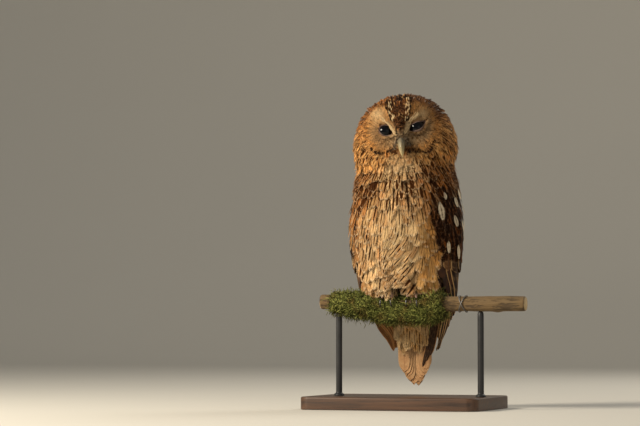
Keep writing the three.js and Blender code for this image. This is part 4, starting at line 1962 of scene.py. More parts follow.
    def near_eye(self, points: Array, margin: float) -> Array:
        """Whether points lie in an eye's opening or, within a margin, on its bare rim."""
        return np.any([Eyes.measure(self.face, side).inside(points, margin) for side in Side], 0)

    def near_bill(self, points: Array) -> Array:
        """Whether points lie under the bill."""
        across, up, out = self.face.local(points) / MM
        return (np.abs(across) < 4.2) & (up > -31) & (up < -11) & (out > 0)

    def spots(self, across: Array, up: Array) -> Array:
        """Points of the surface in front of places on the face.

        Args:
            across: How far they lie across, in millimetres.
            up: How far they lie up.

        Returns:
            The points.
        """
        guess = self.face.world(across, up, np.full_like(up, 10.0))
        for _ in range(6):
            found, _ = self.surface.project(guess)
            missing = np.stack([across, up]) * MM - self.face.local(found)[:2]
            guess = found + missing.T @ self.face.axes[:2]
        return self.surface.project(guess)[0]

    def dress(self, feathers: Feathers, name: str, slot: str = "plumage") -> None:
        """Makes gathered feathers a finished piece."""
        finish_piece(feathers.build(name), self.finish)

    def body(self) -> None:
        """Grows the contour feathers of trunk, neck and flanks, over a layer of shorter ones."""
        rng = np.random.default_rng(SEED)
        gathered: dict[str, Feathers] = {}
        for plume, row, gap in ((self.under, 11, 10), (self.contour, 9.5, 8.6), (self.wisp, 15, 12)):
            for surface in (self.outer, self.surface):
                low, high = surface.upper - 6 * MM, surface.length - 4 * MM
                roots = surface.rows_of_roots(low, high, row * MM, gap * MM, rng)
                height, turn = over_perch(roots), breast_turn(roots)
                if surface is self.outer:
                    # The flank's long feathers hang over the front of the owl's left wing.
                    keep = (height > self.split - 27 * step(turn, 26, 36)) & ~self.on_wing(roots)
                else:
                    # The hem is higher between the legs, and over the left one.
                    hem = 13 + 29 * step(np.abs(turn - 11), 25, 16) + 8 * step(turn, 20, 30)
                    keep = (height <= self.split) & (height > hem) & ~self.covered(roots, 4 * MM)
                if plume is self.wisp:
                    keep &= self.face.disc(roots) > 1.4
                size = 0.66 + 0.34 * step(height, 175, 120) - 0.24 * step(height, 46, 14)
                front = np.abs(turn) < 88
                names = ("coat_under",) * 2 if plume is self.under else ("coat_breast", "coat_back")
                for name, chosen in zip(names, (keep & front, keep & ~front)):
                    feathers = gathered.setdefault(name, Feathers())
                    paint = self.markings.over
                    feathers.grow(surface, roots[chosen], self.lie, paint, plume, rng, size[chosen])
        for name, feathers in gathered.items():
            self.dress(feathers, name)

    def head(self) -> None:
        """Grows the small feathers of crown, cheeks and nape."""
        rng = np.random.default_rng(SEED + 1)
        feathers = Feathers()
        low, high = 1.5 * MM, self.surface.upper + 30 * MM
        roots = self.surface.rows_of_roots(low, high, 3.9 * MM, 4.0 * MM, rng)
        roots = roots[(self.face.disc(roots) > 0.96) & ~self.near_bill(roots)]
        across, up, out = self.face.local(roots) / MM
        size = 0.55 + 0.45 * step(out, 20, -30) + 0.35 * step(up, -22, -58)
        size = size + 0.25 * step(np.abs(across), 30, 46) * step(up, 20, -10)
        feathers.grow(self.surface, roots, self.lie, self.markings.over, self.crown, rng, size)
        self.dress(feathers, "coat_head")

    def disc(self) -> None:
        """Grows the fine rays of the facial discs and the lashes round the eyes."""
        rng = np.random.default_rng(SEED + 2)
        feathers = Feathers()
        face, paint = self.face, self.markings.over
        for side in Side:
            places = []
            for share in np.arange(0.24, 1.06, 0.056):
                turn = ring_of_turns(int(30 + 84 * share), rng)
                r = share + rng.uniform(-0.03, 0.03, len(turn))
                tall = np.where(np.sin(turn) > 0, face.disc_high, face.disc_low)
                across = side.value * face.disc_out + face.disc_wide * r * np.cos(turn)
                places.append((across, face.disc_up + tall * r * np.sin(turn)))
            roots = self.spots(*(np.concatenate(row) / MM for row in zip(*places)))
            mine = face.local(roots)[0] * side.value > -0.5 * MM
            roots = roots[mine & ~self.near_eye(roots, 0.7) & ~self.near_bill(roots)]
            size = 0.55 + 0.50 * face.disc(roots)
            feathers.grow(self.surface, roots, self.lie, paint, self.ray, rng, size)
            eye = Eyes.measure(face, side)
            for layer, count in ((3, 110), (4, 120), (5, 130)):
                roots = eye.lid_points(ring_of_turns(count, rng), np.full(count, layer), self.surface)
                found, normals = self.surface.project(roots)
                lift = np.sum((roots - found) * normals, 1, keepdims=True) / MM
                feathers.grow(self.surface, roots, self.lie, paint, self.lash, rng, lift=lift)
        self.dress(feathers, "coat_face")

    def tufts(self) -> tuple[Tuft, ...]:
        """The face's own lines: cream brows, crown flecks, dark rims, pale chin and ashen bristles.

        Returns:
            The lines.
        """
        marks = self.markings
        cream, pale = Plain(marks.cream), Plain(marks.buff, pale=0.8)
        ashen = Plain(rgb(146, 128, 106), marks.dark, 0.3)
        dark, brown = Plain(marks.dark), Plain(marks.chestnut, marks.dark, 0.5)
        brow, rim, fleck = self.brow, self.rim, self.fleck
        return (
            Tuft(((-4.6, -9), (-6.5, -4.2), (-13, 5.7), (-19.5, 12.5)), 150, 1.7, brow, cream, True),
            Tuft(((4.0, -8), (5.3, -2.3), (12.4, 7.8), (20.5, 13.0)), 150, 1.9, brow, cream, True),
            Tuft(((-9.5, 10), (-13.2, 21), (-16.0, 31), (-15, 42)), 34, 1.5, fleck, dark, True),
            Tuft(((9.5, 8), (13.0, 18), (15.8, 28), (15.5, 42)), 34, 1.5, fleck, dark, True),
            Tuft(((-7.0, 8.5), (-10.6, 20), (-12.0, 29), (-11, 42)), 20, 2.2, fleck, cream, True),
            Tuft(((7.0, 7), (10.0, 16), (12.4, 27), (11, 42)), 20, 2.2, fleck, cream, True),
            Tuft(
                ((-39, -15), (-37.5, -19), (-32, -24), (-24.1, -23.9), (-14, -21.8)), 50, 0.5, rim, dark
            ),
            Tuft(((-34, -22), (-29, -24)), 14, 0.9, rim, dark),
            Tuft(((-18, -22), (-13, -21)), 8, 0.7, rim, dark),
            Tuft(
                ((4, -28), (12, -26), (21.8, -27.4), (30.3, -30.5), (36, -24), (40.3, -13)), 70, 0.9, rim,
                dark
            ),
            Tuft(((29, -30), (35, -25), (39.5, -15)), 26, 1.8, rim, brown),
            Tuft(((8, -30), (16, -30), (28, -33)), 26, 1.8, rim, pale),
            Tuft(((-34, -28), (-28, -28.5), (-18, -26.5), (-6, -29)), 30, 1.8, rim, pale),
            Tuft(((-3, -27), (-12, -25.0), (-20, -26.0)), 22, 1.2, rim, brown),
            Tuft(((4, -24), (12, -23), (22, -25)), 26, 1.4, rim, brown),
            Tuft(((-5, -7), (-9, -13), (-12, -21)), 60, 2.2, rim, ashen),
            Tuft(((5, -6), (9, -12), (12, -20)), 70, 2.4, rim, ashen)
        )

    def lines(self) -> None:
        """Grows the tufts and a few pale flecks over the crown."""
        rng = np.random.default_rng(SEED + 5)
        feathers = Feathers()
        for tuft in self.tufts():
            route = np.array(tuft.route, float)
            far = np.concatenate([[0], np.cumsum(np.linalg.norm(np.diff(route, axis=0), axis=1))])
            spots = rng.uniform(0, far[-1], tuft.count)
            places = [np.interp(spots, far, column) for column in route.T]
            places = [place + rng.normal(0, tuft.spread * 0.6, tuft.count) for place in places]
            roots = self.spots(*places)
            roots = roots[~self.near_eye(roots, 0.3)]
            lie = self.lie
            if tuft.combed:
                run = self.face.world(*route[-1], 0.0) - self.face.world(*route[0], 0.0)
                lie = Combed(tuple(run - 0.35 * self.face.axes[2] * np.linalg.norm(run)))
            feathers.grow(self.surface, roots, lie, tuft.paint, tuft.plume, rng)
        up = rng.uniform(6, 62, self.crown_flecks)
        half = np.interp(up, self.markings.crown_up, self.markings.crown_half)
        roots = self.spots(rng.uniform(-0.85, 0.85, self.crown_flecks) * half, up)
        size = rng.uniform(0.6, 1.1, self.crown_flecks)
        pale = Plain(self.markings.buff, pale=0.8)
        feathers.grow(self.surface, roots, self.lie, pale, self.fleck, rng, size)
        self.dress(feathers, "coat_brows")

    def shoulders(self) -> None:
        """Grows the wing coverts and scapulars over each folded wing, down to the flight feathers."""
        rng = np.random.default_rng(SEED + 3)
        for side in Side:
            feathers = Feathers()
            roots = self.outer.rows_of_roots(130 * MM, 262 * MM, 7.6 * MM, 7.0 * MM, rng)
            height = over_perch(roots)
            keep = (roots[:, 0] * side.value > 0) & (height > 76)
            keep &= self.on_wing(roots, 4 * step(height, 106, 98))
            roots, size = roots[keep], 0.70 + 0.30 * step(height[keep], 130, 80)
            feathers.grow(self.outer, roots, self.wing_lie, self.markings.wing, self.covert, rng, size)
            self.spotted(feathers, side, rng)
            self.dress(feathers, f"coat_wing_{side.word}", "dark_plumage")

    @staticmethod
    def wing_lie(points: Array, normals: Array) -> Array:
        """Wing coverts point down and a little back."""
        side, level = np.sign(points[:, :1]), np.ones((len(points), 1))
        return tangential(np.concatenate([side * 0.02, level * 0.20, -level], 1), normals)

    def spotted(self, feathers: Feathers, side: Side, rng: Rng) -> None:
        """Adds the scapulars and coverts whose outer webs are white.

        Args:
            feathers: Where to add them.
            side: Which wing.
            rng: Random numbers.
        """
        paint = Plain(self.markings.white, self.markings.umber, 0.06, 0.05, 0.2)
        for turn, height, wide, tall in self.white_spots:
            if side is Side.RIGHT and turn < self.right_spots_from:
                continue
            turns = np.radians([turn * side.value])
            top = PERCH_HEIGHT + (height + 0.62 * tall) * MM
            ahead = np.array([[0.07 * math.sin(turns[0]), -0.07 * math.cos(turns[0]), top]])
            root, _ = self.outer.at(turns, self.outer.where(ahead)[1])
            plume = Plume(tall * 1.15, wide, 24, 1.3, 3.8, 0.95, first=0.06, curl=0.8)
            feathers.grow(self.outer, root, self.wing_lie, paint, plume, rng)

    def legs(self) -> None:
        """Grows the short feathers of the legs."""
        rng = np.random.default_rng(SEED + 4)
        feathers = Feathers()
        for side in Side:
            leg = duplicate(f"leg_{side.word}")
            low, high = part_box(f"leg_{side.word}")
            middle = (low + high) / 2
            shift = np.array([middle.x, 0, 0])
            place_points(leg, points_of(leg) - shift)
            lean = ((low.z, middle.y - 5 * MM), (high.z, middle.y + 3 * MM))
            caps = (9 * MM, 8 * MM)
            around = Surface([leg], high.z - 8 * MM, low.z + 4 * MM, caps, lean, (48, 40), 1.5 * MM)
            bpy.data.objects.remove(leg)
            roots = around.rows_of_roots(9 * MM, around.length - 3 * MM, 3.4 * MM, 3.2 * MM, rng)
            before = len(feathers.points)
            feathers.grow(around, roots, DOWNWARDS, self.markings.body, self.shank, rng)
            feathers.points[before:] = [points + shift for points in feathers.points[before:]]
        self.dress(feathers, "coat_legs")

    def build(self) -> None:
        """Grows the whole coat."""
        for grow in (self.body, self.head, self.disc, self.lines, self.shoulders, self.legs):
            grow()


# ---- flight feathers and tail


@dataclass
class Vanes(Grown):
    """Closed flight feathers, each a grid of stations by ribs above and below."""

    stations: int = 16
    ribs: tuple[float, ...] = (-1, -0.86, -0.6, -0.3, -0.08, 0, 0.08, 0.3, 0.6, 0.86, 1)
    thick: float = 0.55 * MM
    ridge: float = 0.35 * MM

    def __post_init__(self) -> None:
        """Finds the stations' shares from root to tip, closer together at the tip."""
        self.shares = np.sin(np.linspace(0, math.pi / 2, self.stations)) ** 1.15
        self.across = np.array(self.ribs)

    def outline(self, blunt: float) -> Array:
        """A flight feather's half-width at each station, 1 at its widest.

        Args:
            blunt: Where along it the tip begins to narrow.

        Returns:
            The half-widths.
        """
        narrow = 0.62 + 0.38 * step(self.shares, 0.0, 0.35)
        t = np.clip((self.shares - blunt) / (1 - blunt), 0, 1)
        return narrow * np.sqrt(np.maximum(1 - t**2.3, 0.0)) + 0.02

    def add(
        self, top: Array, normals: Array, colours: tuple[Array, Array, Array], mark: Colour,
        chance: float, place: Pair
    ) -> None:
        """Adds one feather.

        Args:
            top: The upper side's points, station by rib.
            normals: The upper side's normals.
            colours: The ground, the pale colour and the underside's ground.
            mark: How strong bars, fringe and spots are.
            chance: The feather's own random number.
            place: Its place on the unwrap.
        """
        rows, ribs = top.shape[:2]
        count = rows * ribs
        crest = np.exp(-((self.across / 0.07) ** 2)) * self.ridge
        body = self.thick * (1 - 0.65 * np.abs(self.across))
        upper = (top + normals * crest[None, :, None]).reshape(-1, 3)
        lower = (top - normals * body[None, :, None]).reshape(-1, 3)
        points = np.concatenate([upper, lower])
        grid = np.arange(count).reshape(rows, ribs)
        low = grid + count
        rings = (
            (grid[:-1, :-1], grid[1:, :-1], grid[1:, 1:], grid[:-1, 1:]),
            (low[:-1, :-1], low[:-1, 1:], low[1:, 1:], low[1:, :-1]),
            (grid[:-1, 0], low[:-1, 0], low[1:, 0], grid[1:, 0]),
            (grid[:-1, -1], grid[1:, -1], low[1:, -1], low[:-1, -1]),
            (grid[0, :-1], grid[0, 1:], low[0, 1:], low[0, :-1]),
            (grid[-1, :-1], low[-1, :-1], low[-1, 1:], grid[-1, 1:]),
        )
        faces = np.concatenate([np.stack(corners, -1).reshape(-1, 4) for corners in rings])
        a, b, c = points[faces[0, :3]]
        turned = np.cross(b - a, c - b) @ normals[0, 0] < 0
        self.faces.append(faces[:, :: -1 if turned else 1] + sum(len(p) for p in self.points))
        self.points.append(points)
        u, across = np.broadcast_arrays(self.shares[:, None], self.across)
        vane = np.stack([u, across, np.full_like(u, chance)], -1).reshape(-1, 3)
        ground, dye, belly = colours
        self.keep(
            vane=np.tile(vane, (2, 1)), ground=np.repeat([ground, belly], count, 0),
            dye=np.tile(dye, (2 * count, 1)), mark=np.tile(mark, (2 * count, 1))
        )
        spot = place + 0.02 * vane[:, 1::-1]
        self.unwrap.append(np.concatenate([spot, spot + (0.0, 0.021)]))


def between(pair: Pair, share: float) -> float:
    """The number at a share of the way from a pair's first to its second."""
    return pair[0] + (pair[1] - pair[0]) * share


@dataclass(frozen=True)
class Row:
    """One row of a folded wing's long feathers, from its front feather to its hindmost.

    Shares are of the wing's width at a height, and heights, widths and lifts are millimetres.
    """

    count: int
    root_share: Pair
    root_height: Pair
    tip_share: Pair
    tip_height: Pair
    width: Pair
    lift: Pair
    blunt: float
    ease: float = 1.0
    mark: Colour = (0.15, 0.85, 0.0)


@dataclass
class Wing:
    """A folded wing's primaries, secondaries and greater coverts over a closed core."""

    side: Side
    markings: Markings
    outer: Surface
    # Where the wing's front and back edges lie, as turns by height over the perch in millimetres.
    heights: tuple[float, ...] = (-61, -37, -9, 15, 42, 82, 122, 154)
    fronts: tuple[float, ...] = (76, 70, 68, 52, 41, 42, 47, 62)
    backs: tuple[float, ...] = (132, 148, 154, 160, 163, 163, 150, 112)
    backmost: float = 172
    # How much further back the tips of each wing lie, in degrees.
    tuck: dict[Side, float] = field(default_factory=lambda: {Side.LEFT: 4.0, Side.RIGHT: 24.0})
    rows: tuple[Row, ...] = (
        Row(10, (0.12, 0.50), (60, 70), (0.08, 0.90), (-60, -46), (14.5, 15), (-1.6, -0.9), 0.72, 2.0),
        Row(9, (0.10, 0.80), (72, 88), (0.26, 0.92), (-30, 26), (16, 19), (-0.9, -0.1), 0.80),
        Row(
            11, (0.03, 0.92), (84, 92), (0.05, 0.95), (39, 43), (14, 17), (-0.3, 0.6), 0.80, 1.0,
            (0.10, 0.45, 0.0)
        ),
        Row(8, (-0.03, 0.30), (74, 88), (-0.05, 0.36), (-4, -16), (10, 12), (-0.3, 0.9), 0.85)
    )
    # The left wing's feathers that cross under the tail: root and tip of the first, behind the perch,
    # and how far each next one lies from the one before.
    crossing_tips: int = 3
    crossing_roots: tuple[Colour, Colour] = ((37.0, 38.0, -6.0), (-3.0, 0.6, 0.0))
    crossing_ends: tuple[Colour, Colour] = ((25.0, 44.5, -66.0), (-5.5, 1.0, -7.5))
    # The long feathers' darkest and brownest ground and their bars, and the crossing ones' colours.
    darkest: Colour = rgb(38, 22, 11)
    brownest: Colour = rgb(160, 110, 64)
    barred: Colour = rgb(218, 174, 118)
    crossing_dark: Colour = rgb(50, 30, 16)
    crossing_pale: Colour = rgb(200, 150, 100)
    # The radius that turns a feather's width into an angle, and how deep its root is sunk.
    radius: float = 52
    sunk: float = 9.0
    # How deep the core lies under the wing's form, how fine it is, and where over the perch it ends.
    core_depth: float = 3.6 * MM
    core_voxel: float = 1.3 * MM
    core_from: float = 12 * MM

    def turn(self, share: Array, height: Array) -> Array:
        """The turn round the axis at a share of the wing's width, at a height in millimetres.

        Args:
            share: The share, from the wing's front edge.
            height: The height over the perch.

        Returns:
            The turn.
        """
        tuck = self.tuck[self.side] * step(height, -5, -50)
        front = np.interp(height, self.heights, self.fronts) + tuck
        back = np.minimum(np.interp(height, self.heights, self.backs) + 0.5 * tuck, self.backmost)
        return self.side.value * np.radians(front + (back - front) * share)

    def feather(self, vanes: Vanes, row: Row, k: int, rng: Rng) -> None:
        """Adds one feather of a row.

        Args:
            vanes: Where to add it.
            row: The row.
            k: Its number from the front.
            rng: Random numbers.
        """
        t = k / (row.count - 1)
        share, ribs, sign = vanes.shares, vanes.across, self.side.value
        root, tip = between(row.root_height, t), between(row.tip_height, t**row.ease)
        height = root + (tip + rng.uniform(-1.5, 1.5) - root) * share
        first = between(row.root_share, t)
        place = first + (between(row.tip_share, t) - first) * share**1.2 + rng.uniform(-0.008, 0.008)
        half = 0.5 * between(row.width, t) * vanes.outline(row.blunt)
        turns = self.turn(place, height)[:, None] + sign * ribs * (half / self.radius)[:, None]
        lengths = self.outer.upper + self.outer.top - (PERCH_HEIGHT + height * MM)
        lengths = lengths[:, None] - np.abs(ribs) ** 1.5 * 2.2 * MM * share[:, None]
        points, normals = self.outer.at(turns, lengths)
        arch = 0.4 * (1 - ribs**2) - 1.2 * ribs
        rise = between(row.lift, t) - 1.0 + 1.2 * share[:, None] ** 0.8 + arch
        rise = rise - self.sunk * (1 - share[:, None]) ** 2.5
        # The front feathers are browner, and so are the far wing's lowest tips.
        brown = float(step(t, 0.35, 0.0) * step(tip, -40, 0))
        if self.side is Side.RIGHT:
            brown = max(brown, 0.9 * float(step(tip, -38, -46)))
        dark = blend(self.darkest, self.brownest, np.array([brown]))[0] * rng.uniform(0.65, 1.4)
        pale = np.array(self.barred) * rng.uniform(0.75, 1.2) * (1 + 0.3 * float(step(t, 0.5, 0.2)))
        spot = (0.1 + 0.035 * len(vanes.points) % 0.8, 0.45 - 0.15 * sign)
        points = points + normals * rise[..., None] * MM
        vanes.add(points, normals, (dark, pale, dark * 1.6), row.mark, rng.uniform(), spot)

    def crossing(self, vanes: Vanes, rng: Rng) -> None:
        """Adds the primaries whose tips cross under the tail.

        Args:
            vanes: Where to add them.
            rng: Random numbers.
        """
        roots, ends = np.array(self.crossing_roots), np.array(self.crossing_ends)
        for k in range(self.crossing_tips):
            start, end = roots[0] + roots[1] * k, ends[0] + ends[1] * k
            line = start + (end - start) * vanes.shares[:, None] ** [1.5, 1.0, 1.0]
            points = np.repeat(line[:, None, :], len(vanes.across), 1)
            points[..., 0] += 3.6 * vanes.outline(0.75)[:, None] * vanes.across
            points[..., 1] += 0.9 * vanes.across**2
            points = np.array([0, PERCH_DEPTH, PERCH_HEIGHT]) + points * MM
            normals = np.broadcast_to((0.0, -1.0, 0.0), points.shape)
            dark = np.array(self.crossing_dark) * rng.uniform(0.8, 1.3)
            colours, spot = (dark, self.crossing_pale, dark), (0.9, 0.1 + 0.05 * k)
            vanes.add(points, normals, colours, (0.1, 0.9, 0.0), rng.uniform(), spot)

    def core(self) -> Item:
        """The wing's closed inner form, cut off above its long feathers.

        Returns:
            The form.
        """
        core = duplicate(f"wing_{self.side.word}")
        cut = (0, 0, PERCH_HEIGHT + self.core_from)
        with editing(core):
            bpy.ops.mesh.bisect(plane_co=cut, plane_no=(0, 0, 1), clear_inner=True, use_fill=True)
        reform(core, self.core_voxel, 8)
        points = points_of(core)
        place_points(core, points - normals_of(core) * self.core_depth)
        smooth(core)
        coat = self.markings.wing(points)
        add_values(core, ground=coat.ground * 0.5, dye=coat.dye, mark=(0, 0, 0))
        return settle(core, f"wing_core_{self.side.word}")

    def build(self) -> None:
        """Makes the core and the long feathers."""
        rng = np.random.default_rng(SEED + 10 + self.side.value)
        node = f"wing_{self.side.word}"
        core = finish_piece(self.core(), SkinFinish("owl_skin"))
        vanes = Vanes()
        for row in self.rows:
            for k in range(row.count):
                self.feather(vanes, row, k, rng)
        if self.side is Side.LEFT:
            self.crossing(vanes, rng)
        made = vanes.build(f"wing_quills_{self.side.word}")
        finish_piece(made, FlightFinish("flight_vane"), [node])
        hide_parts(node)


@dataclass
class Tail:
    """The closed fan of tail feathers and the soft coverts round their roots. Sizes are millimetres."""

    markings: Markings
    finish: FeatherFinish
    pairs: int = 6
    # Heights of roots and tips over the perch, and their depths behind it.
    height: Pair = (22, -107)
    depth: Pair = (45, 58.5)
    first: float = 3.0
    spread: float = 2.3
    width: float = 16.5
    # How much shorter each pair is than the one before, and how far the fan lies to the left.
    short: float = 3.6
    shift: float = 1.5
    # Upper side, underside, pale fringe and shaft, and the form under the soft coverts.
    upper: Colour = rgb(128, 82, 48)
    belly: Colour = rgb(206, 160, 114)
    fringe: Colour = rgb(222, 186, 140)
    quill: Colour = rgb(176, 128, 88)
    down: Colour = rgb(150, 110, 70)
    coverts: Colour = (27, 9.5, 43)
    covert: Plume = Plume(23, 11, 20, 0.3, 2.2, 0.60, sweep=0.6, ragged=0.35, loose=0.8, hang=0.25)

    def build(self) -> None:
        """Makes the fan, the coverts' form and the coverts."""
        rng = np.random.default_rng(SEED + 20)
        vanes = Vanes()
        for pair in range(self.pairs):
            for side in (-1, 1):
                self.feather(vanes, pair, side, rng)
        quills = FlightFinish("tail_vane", 9.0, quill=self.quill)
        finish_piece(vanes.build("tail_fan"), quills, ["tail"])
        form = self.form()
        self.soft(form)
        finish_piece(form, SkinFinish("owl_skin"), ["tail"])

    def feather(self, vanes: Vanes, pair: int, side: int, rng: Rng) -> None:
        """Adds one feather of the fan.

        Args:
            vanes: Where to add it.
            pair: Its pair, from the middle out.
            side: Which one of the pair, as the sign of x.
            rng: Random numbers.
        """
        share, ribs = vanes.shares[:, None], vanes.across
        root, tip = self.height
        tip = tip + self.short * pair**1.05 + rng.uniform(-2.5, 2.5)
        fan = 0.92 + 0.08 * share
        half = 0.5 * self.width * vanes.outline(0.86)[:, None] * fan
        x = self.shift + side * (self.first + self.spread * pair * fan) + half * ribs
        y = between(self.depth, share) - 0.95 * pair + 0.0035 * x**2 + 0.35 * side * (pair == 0)
        y = y + 0.8 * (1 - ribs**2)
        z = root + (tip - root) * share + 2.5 * np.abs(ribs) ** 1.4 * share
        points = np.stack([x, y, z], -1) * MM + np.array([0, PERCH_DEPTH, PERCH_HEIGHT])
        normals = np.broadcast_to((0.0, 1.0, 0.0), points.shape)
        upper = np.array(self.upper) * rng.uniform(0.9, 1.1)
        belly = np.array(self.belly) * rng.uniform(0.80, 1.15)
        spot = (0.08 + 0.07 * pair, 0.05 + 0.45 * (side > 0))
        colours = (upper, self.fringe, belly)
        vanes.add(points, normals, colours, (0.35, 0.35, 0), rng.uniform(), spot)

    def form(self) -> Item:
        """The form under the soft coverts.

        Returns:
            The form.
        """
        choose()
        place = (0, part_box("tail")[0].y + 11.5 * MM, PERCH_HEIGHT - 5 * MM)
        bpy.ops.mesh.primitive_uv_sphere_add(segments=40, ring_count=28, radius=MM, location=place)
        form = bpy.context.object
        form.scale = self.coverts
        form.rotation_euler.x = math.radians(5)
        add_values(form, ground=self.down, dye=self.down, mark=(0, 0, 0))
        return settle(form, "covert_form")

    def soft(self, form: Item) -> None:
        """Grows the soft coverts over their form.

        Args:
            form: The form.
        """
        rng = np.random.default_rng(SEED + 21)
        _, y, z = points_of(form).mean(0)
        top, bottom = z + 12 * MM, z - 20 * MM
        lean = ((0, y + 1.5 * MM), (bottom, y + 1.5 * MM), (top, y - 1.5 * MM))
        around = Surface([form], top, bottom, (12 * MM, 12 * MM), lean, (120, 60), 0.8 * MM)
        feathers = Feathers()
        roots = around.rows_of_roots(8 * MM, around.length - 6 * MM, 5 * MM, 5 * MM, rng)
        feathers.grow(around, roots, DOWNWARDS, self.markings.tail_coverts, self.covert, rng)
        finish_piece(feathers.build("coat_tail_coverts"), self.finish)


# ---- bill and claws


@dataclass
class Bill:
    """The hooked bill: a curved upper half over a short lower one."""

    face: Face
    # The ridge of the upper half from its root to its tip, as up and out from between the eyes.
    ridge: tuple[Pair, ...] = (
        (-9.0, 13.0), (-10.5, 22.0), (-14.5, 28.0), (-21.0, 31.2), (-28.0, 30.6), (-32.4, 28.2),
        (-35.2, 25.8)
    )
    # The lower edge under each of those points, and the half-width there.
    edge: tuple[Colour, ...] = (
        (-20.0, 12.0, 4.6), (-21.5, 17.0, 4.9), (-24.0, 21.0, 4.7), (-27.5, 23.6, 3.9),
        (-31.0, 24.6, 2.7), (-33.4, 25.0, 1.5), (-35.6, 25.2, 0.35)
    )

    def upper(self, turn: Array, share: Array) -> Array:
        """Sections of the upper half, narrowest at the ridge, with a swollen root and nostrils.

        Args:
            turn: Turns round the section.
            share: Shares of the way from root to tip.

        Returns:
            Points.
        """
        top, low = polyline(share, self.ridge), polyline(share, self.edge)
        half = low[:, 2]
        c, level = np.cos(turn), 0.5 + 0.5 * np.sin(turn)
        up, out = (low[:, :2] + (top - low[:, :2]) * level[:, None]).T
        side = half * np.sign(c) * np.abs(c) ** 0.85 * (1 - 0.30 * level**2)
        nostril = np.exp(-(((share - 0.14) / 0.07) ** 2) - ((level - 0.62) / 0.22) ** 2)
        return self.face.world(side + np.sign(c) * 0.9 * nostril * half / 4.6, up, out)

    def lower(self, turn: Array, share: Array) -> Array:
        """Sections of the lower half, a small scoop mostly hidden by the upper.

        Args:
            turn: Turns round the section.
            share: Shares of the way from root to tip.

        Returns:
            Points.
        """
        half = 3.4 * (1 - 0.6 * share**1.5) * np.sqrt(np.clip(1.04 - share**6, 0.03, 1))
        rise = half * np.sin(turn)
        up, out = -22.5 - 8.0 * share + 0.75 * rise, 12.0 + 11.0 * share - 0.2 * rise
        return self.face.world(half * np.cos(turn), up, out)

    def build(self) -> None:
        """Makes both halves."""
        top, tip = (self.face.world(*place)[2] for place in ((0, -10, 20), (0, -37, 25)))
        horn = HornFinish("bill_horn_yellow", rgb(120, 110, 92), rgb(196, 176, 126), top, tip)
        finish_piece(lofted("bill_hook", 24, 22, self.upper), horn, ["bill_upper"])
        finish_piece(lofted("bill_scoop", 16, 10, self.lower), horn, ["bill_lower"])


@dataclass
class Claws:
    """The eight curved claws."""

    toes: tuple[str, ...] = ("inner_front", "outer_front", "inner_back", "outer_back")
    voxel: float = 0.35 * MM
    root_colour: Colour = (0.060, 0.050, 0.045)
    tip_colour: Colour = (0.018, 0.016, 0.016)

    def build(self) -> None:
        """Rounds a copy of each claw's CAD solid."""
        ends = (PERCH_HEIGHT + 11 * MM, PERCH_HEIGHT - MM)
        finish = HornFinish("claw_horn_dark", self.root_colour, self.tip_colour, *ends, 0.3)
        for node in (f"claw_{side.word}_{toe}" for side in Side for toe in self.toes):
            claw = duplicate(node)
            reform(claw, self.voxel, 10)
            smooth(claw)
            finish_piece(settle(claw, f"{node}_hook"), finish, [node])


# ---- branch, moss and stand


@dataclass
class Branch:
    """The cut length of branch with its wire tie."""

    sides: int = 48
    layers: int = 150
    # The branch's axis lies this much higher at its right end, and comes down over this length.
    drop: float = 3 * MM
    drop_length: float = 98 * MM
    knot: float = 128 * MM
    tie: float = 83 * MM
    tie_lean: float = 0.42
    wire: float = 0.75 * MM

    def __post_init__(self) -> None:
        """Finds its ends and its radius from the CAD branch."""
        self.low, self.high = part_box("perch_branch")
        self.radius = (self.high.y - self.low.y) / 2 * 0.985

    def bark(self, turn: Array, share: Array) -> Array:
        """Bark with ridges, low knots and slightly worn rims.

        Args:
            turn: Turns round the branch.
            share: Shares of its length.

        Returns:
            Points.
        """
        long = self.high.x - self.low.x
        x = self.low.x + long * share
        c, s = np.cos(turn), np.sin(turn)
        line = np.stack([x * 0.12, c * 10 * MM, s * 10 * MM], -1)
        ridges = ripple(line, 5.5 * MM, 41) * 0.22 + ripple(line, 2.6 * MM, 42) * 0.10
        lumps = ripple(np.stack([x, c * 8 * MM, s * 8 * MM], -1), 32 * MM, 43) * 0.18
        knot = np.exp(-(((x - self.knot) / (6 * MM)) ** 2) - ((turn + 1.2) / 0.5) ** 2) * 1.6
        worn = 0.7 * np.clip(1 - np.minimum(share, 1 - share) * long / (0.5 * MM), 0, 1)
        reach = self.radius + (ridges + lumps + knot - 0.2 - worn) * MM
        drop = self.drop * step(x, self.low.x + self.drop_length, self.low.x)
        return np.stack([x, PERCH_DEPTH + reach * c, PERCH_HEIGHT + drop + reach * s], -1)

    def build(self) -> None:
        """Makes the bark, the sawn ends and the tie."""
        bark = lofted("branch_bark", self.sides, self.layers, self.bark, subdivision_type="SIMPLE")
        middle = (0.0, PERCH_DEPTH, PERCH_HEIGHT)
        finish = BarkFinish("bark_dry", self.low.x, self.high.x, middle, self.radius)
        finish_piece(bark, finish, ["perch_branch"])
        rings = []
        for lean in (-self.tie_lean, self.tie_lean):
            choose()
            bpy.ops.mesh.primitive_torus_add(
                location=(self.tie, PERCH_DEPTH, PERCH_HEIGHT), rotation=(0, math.pi / 2 + lean, 0),
                major_segments=72, minor_segments=10, major_radius=self.radius + self.wire,
                minor_radius=self.wire
            )
            bpy.context.object.scale.x = 1 / math.cos(lean)
            rings.append(settle(bpy.context.object, "tie"))
        wire = joined(rings, "wire_tie")
        smooth(wire)
        finish_piece(wire, MetalFinish("wire_dull", (0.16, 0.15, 0.14), 0.9, 0.45))


